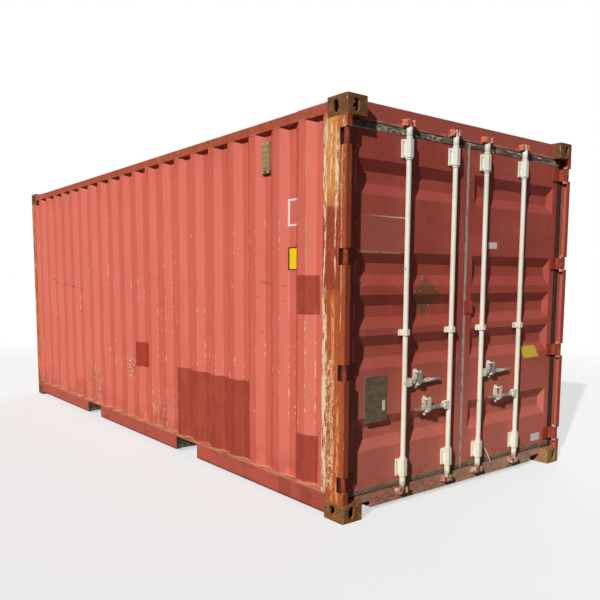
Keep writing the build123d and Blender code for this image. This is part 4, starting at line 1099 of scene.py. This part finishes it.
def dress_nodes():
    """Finishes for every node of the frame."""
    low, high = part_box("side_wall_left")
    dress(["side_wall_left"], wall_coat("wall_paint_marked", low.x, high.x, True))
    dress(["side_wall_right"], wall_coat("wall_paint_plain", low.x, high.x, False))
    dress(["front_wall"], front_wall_coat())
    dress(both_sides("top_rail_", "bottom_rail_") + ["front_top_rail", "front_sill"], rail_coat())
    dress(both_sides("rear_post_"), post_coat())
    dress(both_sides("front_post_"), front_post_coat())
    dress(["corner_castings_rear", "corner_castings_front"], casting_coat())
    dress(both_sides("door_frame_", "door_panel_"), door_coat(True))
    dress(["door_header", "door_sill", "seal_plate"], door_coat(False))
    dress(both_sides("door_gasket_"), gasket_coat())
    dress(both_sides("hinge_blades_"), blade_coat())
    dress(both_sides("hinge_lugs_") + ["cam_keepers"], keeper_coat())
    rods = ["lock_rod_%d" % number for number in range(1, 5)]
    dress(both_sides("rod_brackets_", "handle_retainers_") + rods, gear_coat())
    levers = [name % number for name in ("handle_%d", "catch_%d") for number in range(1, 5)]
    dress(levers, handle_coat())
    dress(["roof_panel", "roof_corner_plates"], roof_coat())
    dress(["floor_boards"], plywood_coat())
    dress(["cross_members", "fork_pockets"], underside_coat())
    dress(["ventilators"], vent_coat())


def bolt(shape, place, radius, height, axis="X"):
    """A hexagonal head on a round washer."""
    washer = height * 0.25
    shape.lathe(place, ((radius * 1.35, 0), (radius * 1.35, washer)), 16, axis)
    head = Vector(place)
    head["XYZ".index(axis)] += math.copysign(washer, height)
    shape.lathe(head, ((radius, 0), (radius, height * 0.6), (radius * 0.8, height * 0.75)), 6, axis)


def joints_of(kind):
    """Number, joint and place of each joint of a kind, such as lock_rod."""
    found = []
    for joint in frame["joints"]:
        if joint["name"].startswith(kind):
            number = joint["name"][len(kind) + 1:].split("_")[0]
            found.append((number, joint, Vector(joint["pos_m"])))
    return found


def bracket_levels():
    """Heights of the upper and lower brackets on each rod."""
    low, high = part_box("door_frame_left")
    return high.z - BRACKET_BELOW_LEAF_TOP, low.z + BRACKET_ABOVE_LEAF_FOOT


def bracket_bolts(material):
    """Bolts through the flanges of the brackets."""
    leaf_low, leaf_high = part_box("door_frame_left")
    middle = leaf_low.z + BRACKET_MIDDLE_SHARE * (leaf_high.z - leaf_low.z)
    front = leaf_high.x + BRACKET_PLATE
    up = BRACKET_HEIGHT / 2 - BOLT_MARGIN
    out = BRACKET_WIDTH / 2 - BOLT_MARGIN
    out_middle = BRACKET_MIDDLE_WIDTH / 2 - BOLT_MARGIN
    for number, joint, place in joints_of("lock_rod"):
        shape = Shape()
        for level in bracket_levels():
            for across in (-out, out):
                for rise in (-up, up):
                    bolt(shape, (front, place.y + across, level + rise), BOLT_RADIUS, BOLT_HEIGHT)
        for across in (-out_middle, out_middle):
            bolt(shape, (front, place.y + across, middle), BOLT_RADIUS, BOLT_HEIGHT)
        shape.piece("bracket_bolts_" + number, joint["parent"], "handle_steel", material)


def dome(radius, height, shoulder):
    """Profile of a flat round head, given its shoulder's share of the radius."""
    return (radius, 0), (radius * shoulder, height * 0.7), (radius * 0.35, height)


def ring(shape, place, level, height):
    """A ring round a rod, from a level up by the height, with its edges taken off."""
    edge = RING_RADIUS - RING_CUT
    profile = (
        (ROD_RADIUS, 0),
        (edge, 0),
        (RING_RADIUS, height * 0.2),
        (RING_RADIUS, height * 0.8),
        (edge, height),
        (ROD_RADIUS, height),
    )
    shape.lathe((place.x, place.y, level), profile, 24, "Z")


def sleeve(shape, place, low, high):
    """A wider length of rod between a bracket and a cam."""
    profile = (
        (ROD_RADIUS, 0),
        (SLEEVE_RADIUS, SLEEVE_FOOT_CUT),
        (SLEEVE_RADIUS, high - low - SLEEVE_HEAD_CUT),
        (ROD_RADIUS, high - low),
    )
    shape.lathe((place.x, place.y, low), profile, 24, "Z")


def rod_rings(material):
    """Rings and sleeves on each rod beside its brackets, and the rivet head of each handle."""
    upper, lower = bracket_levels()
    half = BRACKET_HEIGHT / 2 + RING_GAP
    for number, joint, place in joints_of("lock_rod"):
        shape = Shape()
        ring(shape, place, upper - half - RING_HEIGHT, RING_HEIGHT)
        ring(shape, place, upper + half, RING_HEIGHT)
        ring(shape, place, lower - half - RING_HEIGHT, RING_HEIGHT)
        sleeve(shape, place, upper + half + RING_HEIGHT, SLEEVE_TOP_LEVEL)
        sleeve(shape, place, SLEEVE_FOOT_LEVEL, lower - half - RING_HEIGHT)
        shape.piece("rod_rings_" + number, joint["child"], "gear_steel", material, smooth=True)
    for number, joint, place in joints_of("handle"):
        place.x += CHEEK_FRONT
        shape = Shape()
        shape.lathe(place, dome(RIVET_RADIUS, RIVET_HEIGHT, 0.8), 16)
        shape.piece("handle_rivet_" + number, joint["parent"], "gear_steel", material, smooth=True)


def retainer_knobs(material):
    """A knob under each handle's cradle and a cap on the pin of each catch."""
    levels = {number: place.z for number, _, place in joints_of("handle")}
    knob = (
        (KNOB_RADIUS, 0),
        (KNOB_RADIUS, KNOB_HEIGHT * 0.5),
        (KNOB_RADIUS * 0.8, KNOB_HEIGHT * 0.9),
        (KNOB_RADIUS * 0.3, KNOB_HEIGHT),
    )
    for number, joint, place in joints_of("catch"):
        side = joint["parent"].split("_")[1]
        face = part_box("door_frame_" + side)[1].x
        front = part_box("handle_retainers_" + side)[1].x
        shape = Shape()
        shape.lathe((face + RETAINER_PLATE, place.y, levels[number] - KNOB_DROP), knob, 20)
        shape.lathe((front - CAP_HEIGHT, place.y, place.z), dome(CAP_RADIUS, CAP_HEIGHT, 0.85), 20)
        shape.piece("retainer_knobs_" + number, joint["parent"], "gear_steel", material, smooth=True)


def trims():
    """Ragged old seal along the upper and lower edges of both leaves."""
    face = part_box("door_frame_left")[1].x
    materials = {"head": trim_coat("seal_head", True), "foot": trim_coat("seal_foot", False)}
    near, far = TRIM_ENDS
    count = int((far - near) / TRIM_STEP)
    for name, levels in (("head", TRIM_HEAD), ("foot", TRIM_FOOT)):
        for side, start in (("left", -far), ("right", near)):
            edges = []
            for number in range(count + 1):
                across = start + (far - near) * number / count
                foot = levels[0] + random.uniform(0, TRIM_RAGGED)
                head = levels[1] - random.uniform(0, TRIM_RAGGED)
                edges.append((across, foot, head))
            shape = Shape()
            shape.ribbon(edges, face + TRIM_BACK, face + TRIM_FRONT)
            shape.piece("seal_%s_%s" % (name, side), "door_" + side, "rubber", materials[name])


def strap(material):
    """The bent strap that hangs beside the third rod."""
    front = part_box("door_frame_right")[1].x + STRAP_FORWARD
    route = [Vector((front, across, level)) for across, level in STRAP_ROUTE]
    shape = Shape()
    shape.tube(route, [STRAP_RADIUS] * len(route), (1, 0, 0), 8)
    shape.piece("hanging_strap", "door_right", "gear_steel", material, smooth=True)


def weld_bead(name, route, material):
    """A rippled weld along a route."""
    shape = Shape()
    points = []
    radii = []
    for number, place in enumerate(route):
        sway = random.uniform(-1, 1) * BEAD_RADIUS * BEAD_SWAY
        points.append(place + Vector((0, 0, sway)))
        ripple = BEAD_RIPPLE * math.sin(number * BEAD_RIPPLE_TURN)
        radii.append(BEAD_RADIUS * (1.0 + ripple + random.uniform(-BEAD_ROUGHNESS, BEAD_ROUGHNESS)))
    shape.tube(points, radii)
    shape.piece(name, "container", "wall_paint", material, smooth=True)


def side_line(low_x, high_x, crest, trough):
    """Points along a folded wall's outer face, close together."""
    pitch = fold_pitch(low_x, high_x)
    points = []
    count = int((high_x - low_x) / BEAD_STEP)
    for number in range(count + 1):
        x = low_x + (high_x - low_x) * number / count
        phase = (x - low_x - FOLD_END_SLOPE) % pitch
        share = 0.0
        if phase > FOLD_FLOOR:
            up = (phase - FOLD_FLOOR) / FOLD_SLOPE
            down = (pitch - phase) / FOLD_SLOPE
            share = min(up, down, 1.0)
        end = min(x - low_x, high_x - x) / FOLD_END_SLOPE
        if end < 1.0:
            share = 1.0 - end
        points.append((x, trough + (crest - trough) * share))
    return points


def weld_coat():
    """Tan rust on weld beads with what is left of the wall's paint."""
    coat = Coat("weld_paint", RUST_TAN, 0.8)
    coat.lay(coat.noise(0.05, (2, 1, 1), 181).rise(0.42, 0.60), WALL_RED, 0.9, 0.7)
    coat.lay(coat.noise(0.03, (2, 1, 1), 182).rise(0.56, 0.66), RUST_BROWN, 0.8, 0.9)
    coat.swell(coat.noise(0.004, seed=183), 0.0005)
    return coat.finish()


def weld_beads():
    """Beads where the side walls stand on the bottom rails and meet the top rails."""
    material = weld_coat()
    for side, sign in (("left", -1), ("right", 1)):
        low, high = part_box("side_wall_" + side)
        crest = max(abs(low.y), abs(high.y))
        trough = min(abs(low.y), abs(high.y)) + BEAD_LIFT
        line = side_line(low.x, high.x, crest, trough)
        for name, level in (("foot", low.z), ("head", high.z)):
            route = [Vector((x, sign * y, level)) for x, y in line]
            weld_bead("weld_%s_%s" % (name, side), route, material)


def door_plates():
    """The bare plates and labels on the two leaves."""
    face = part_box("door_frame_left")[1].x
    white = label_coat("label_white", LABEL_WHITE)
    yellow = label_coat("label_yellow", TAG_YELLOW)
    metal = plate_coat()

    def sheet(name, box, body, material, depth, lean=0.0, lift=0.0):
        left, right, low, high = box
        shape = Shape()
        x = face + lift
        foot = [(x, left + lean, low), (x, right + lean, low)]
        head = [(x, right - lean, high), (x, left - lean, high)]
        shape.slab(foot + head, depth, depth)
        shape.piece(name, body, "gear_steel", material)

    sheet("data_plate", PLATE, "door_left", metal, PLATE_THICKNESS)
    thin = PLATE_THICKNESS * LABEL_SHARE
    sheet("plate_tag", PLATE_TAG, "door_left", white, thin, 0.0, PLATE_THICKNESS)
    sheet("door_label", DOOR_LABEL, "door_right", white, thin)
    sheet("door_note", DOOR_NOTE, "door_right", white, thin)
    sheet("yellow_tag", YELLOW_TAG, "door_right", yellow, PLATE_THICKNESS * TAG_SHARE, YELLOW_TAG_LEAN)
    left, right, low, high = PLATE
    rivets = Shape()
    for y in (left + PLATE_RIVET_INSET, right - PLATE_RIVET_INSET):
        for z in (low + PLATE_RIVET_INSET, high - PLATE_RIVET_INSET):
            rivets.lathe((face + PLATE_THICKNESS, y, z), PLATE_RIVET, 12)
    rivets.piece("plate_rivets", "door_left", "gear_steel", metal, smooth=True)


def vent_bolts(material):
    """Four bolts on each ventilator."""
    low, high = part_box("ventilators")
    middle = (low.x + high.x) / 2
    half = (high.x - low.x) / 2 - VENT_BOLT_INSET
    for side, sign in (("left", -1), ("right", 1)):
        shape = Shape()
        face = sign * max(abs(low.y), abs(high.y))
        for x in (middle - half, middle + half):
            for z in (low.z + VENT_BOLT_INSET, high.z - VENT_BOLT_INSET):
                bolt(shape, (x, face, z), VENT_BOLT_RADIUS, sign * VENT_BOLT_HEIGHT, "Y")
        shape.piece("vent_bolts_" + side, "container", "handle_steel", material)


def add_camera():
    """The camera at the photograph's place."""
    data = bpy.data.cameras.new("camera")
    data.lens = CAMERA_LENS
    data.shift_x = CAMERA_SHIFT_X
    data.shift_y = CAMERA_SHIFT_Y
    camera = bpy.data.objects.new("camera", data)
    camera.location = CAMERA_PLACE
    camera.rotation_euler = CAMERA_TURN
    bpy.context.scene.collection.objects.link(camera)
    bpy.context.scene.camera = camera


def add_lamp(name, source, strength, angle):
    """A distant lamp that shines from a direction."""
    data = bpy.data.lights.new(name, "SUN")
    data.energy = strength
    data.angle = math.radians(angle)
    lamp = bpy.data.objects.new(name, data)
    lamp.rotation_euler = Vector(source).to_track_quat("Z", "Y").to_euler()
    bpy.context.scene.collection.objects.link(lamp)


def add_light():
    """A key lamp from the left, a broad one from behind, and a dim sky that is seen as plain white."""
    add_lamp("key", SUN_FROM, SUN_STRENGTH, SUN_ANGLE)
    add_lamp("back", BACK_FROM, BACK_STRENGTH, BACK_ANGLE)
    world = bpy.data.worlds.new("sky")
    world.use_nodes = True
    bpy.context.scene.world = world
    nodes = world.node_tree.nodes
    links = world.node_tree.links
    nodes.clear()
    path = nodes.new("ShaderNodeLightPath")
    sky = nodes.new("ShaderNodeValue")
    sky.outputs[0].default_value = SKY_STRENGTH
    strength = sky.outputs[0]
    for ray in ("Is Camera Ray", "Is Glossy Ray", "Is Transmission Ray"):
        larger = nodes.new("ShaderNodeMath")
        larger.operation = "MAXIMUM"
        links.new(path.outputs[ray], larger.inputs[0])
        links.new(strength, larger.inputs[1])
        strength = larger.outputs[0]
    background = nodes.new("ShaderNodeBackground")
    background.inputs["Color"].default_value = (1.0, 1.0, 1.0, 1.0)
    links.new(strength, background.inputs["Strength"])
    output = nodes.new("ShaderNodeOutputWorld")
    links.new(background.outputs[0], output.inputs["Surface"])


def add_floor():
    """The floor under the container."""
    mesh = bpy.data.meshes.new("floor")
    corners = [(x * FLOOR_REACH, y * FLOOR_REACH, 0) for x, y in ((-1, -1), (1, -1), (1, 1), (-1, 1))]
    mesh.from_pydata(corners, [], [(0, 1, 2, 3)])
    mesh.materials.append(floor_coat())
    floor = bpy.data.objects.new("floor", mesh)
    bpy.context.scene.collection.objects.link(floor)


dress_nodes()
fastener_paint = handle_coat()
gear_paint = gear_coat()
bracket_bolts(gear_paint)
rod_rings(gear_paint)
retainer_knobs(gear_paint)
strap(gear_paint)
trims()
weld_beads()
door_plates()
vent_bolts(fastener_paint)
add_camera()
add_light()
add_floor()
bpy.context.scene.view_settings.view_transform = "Standard"
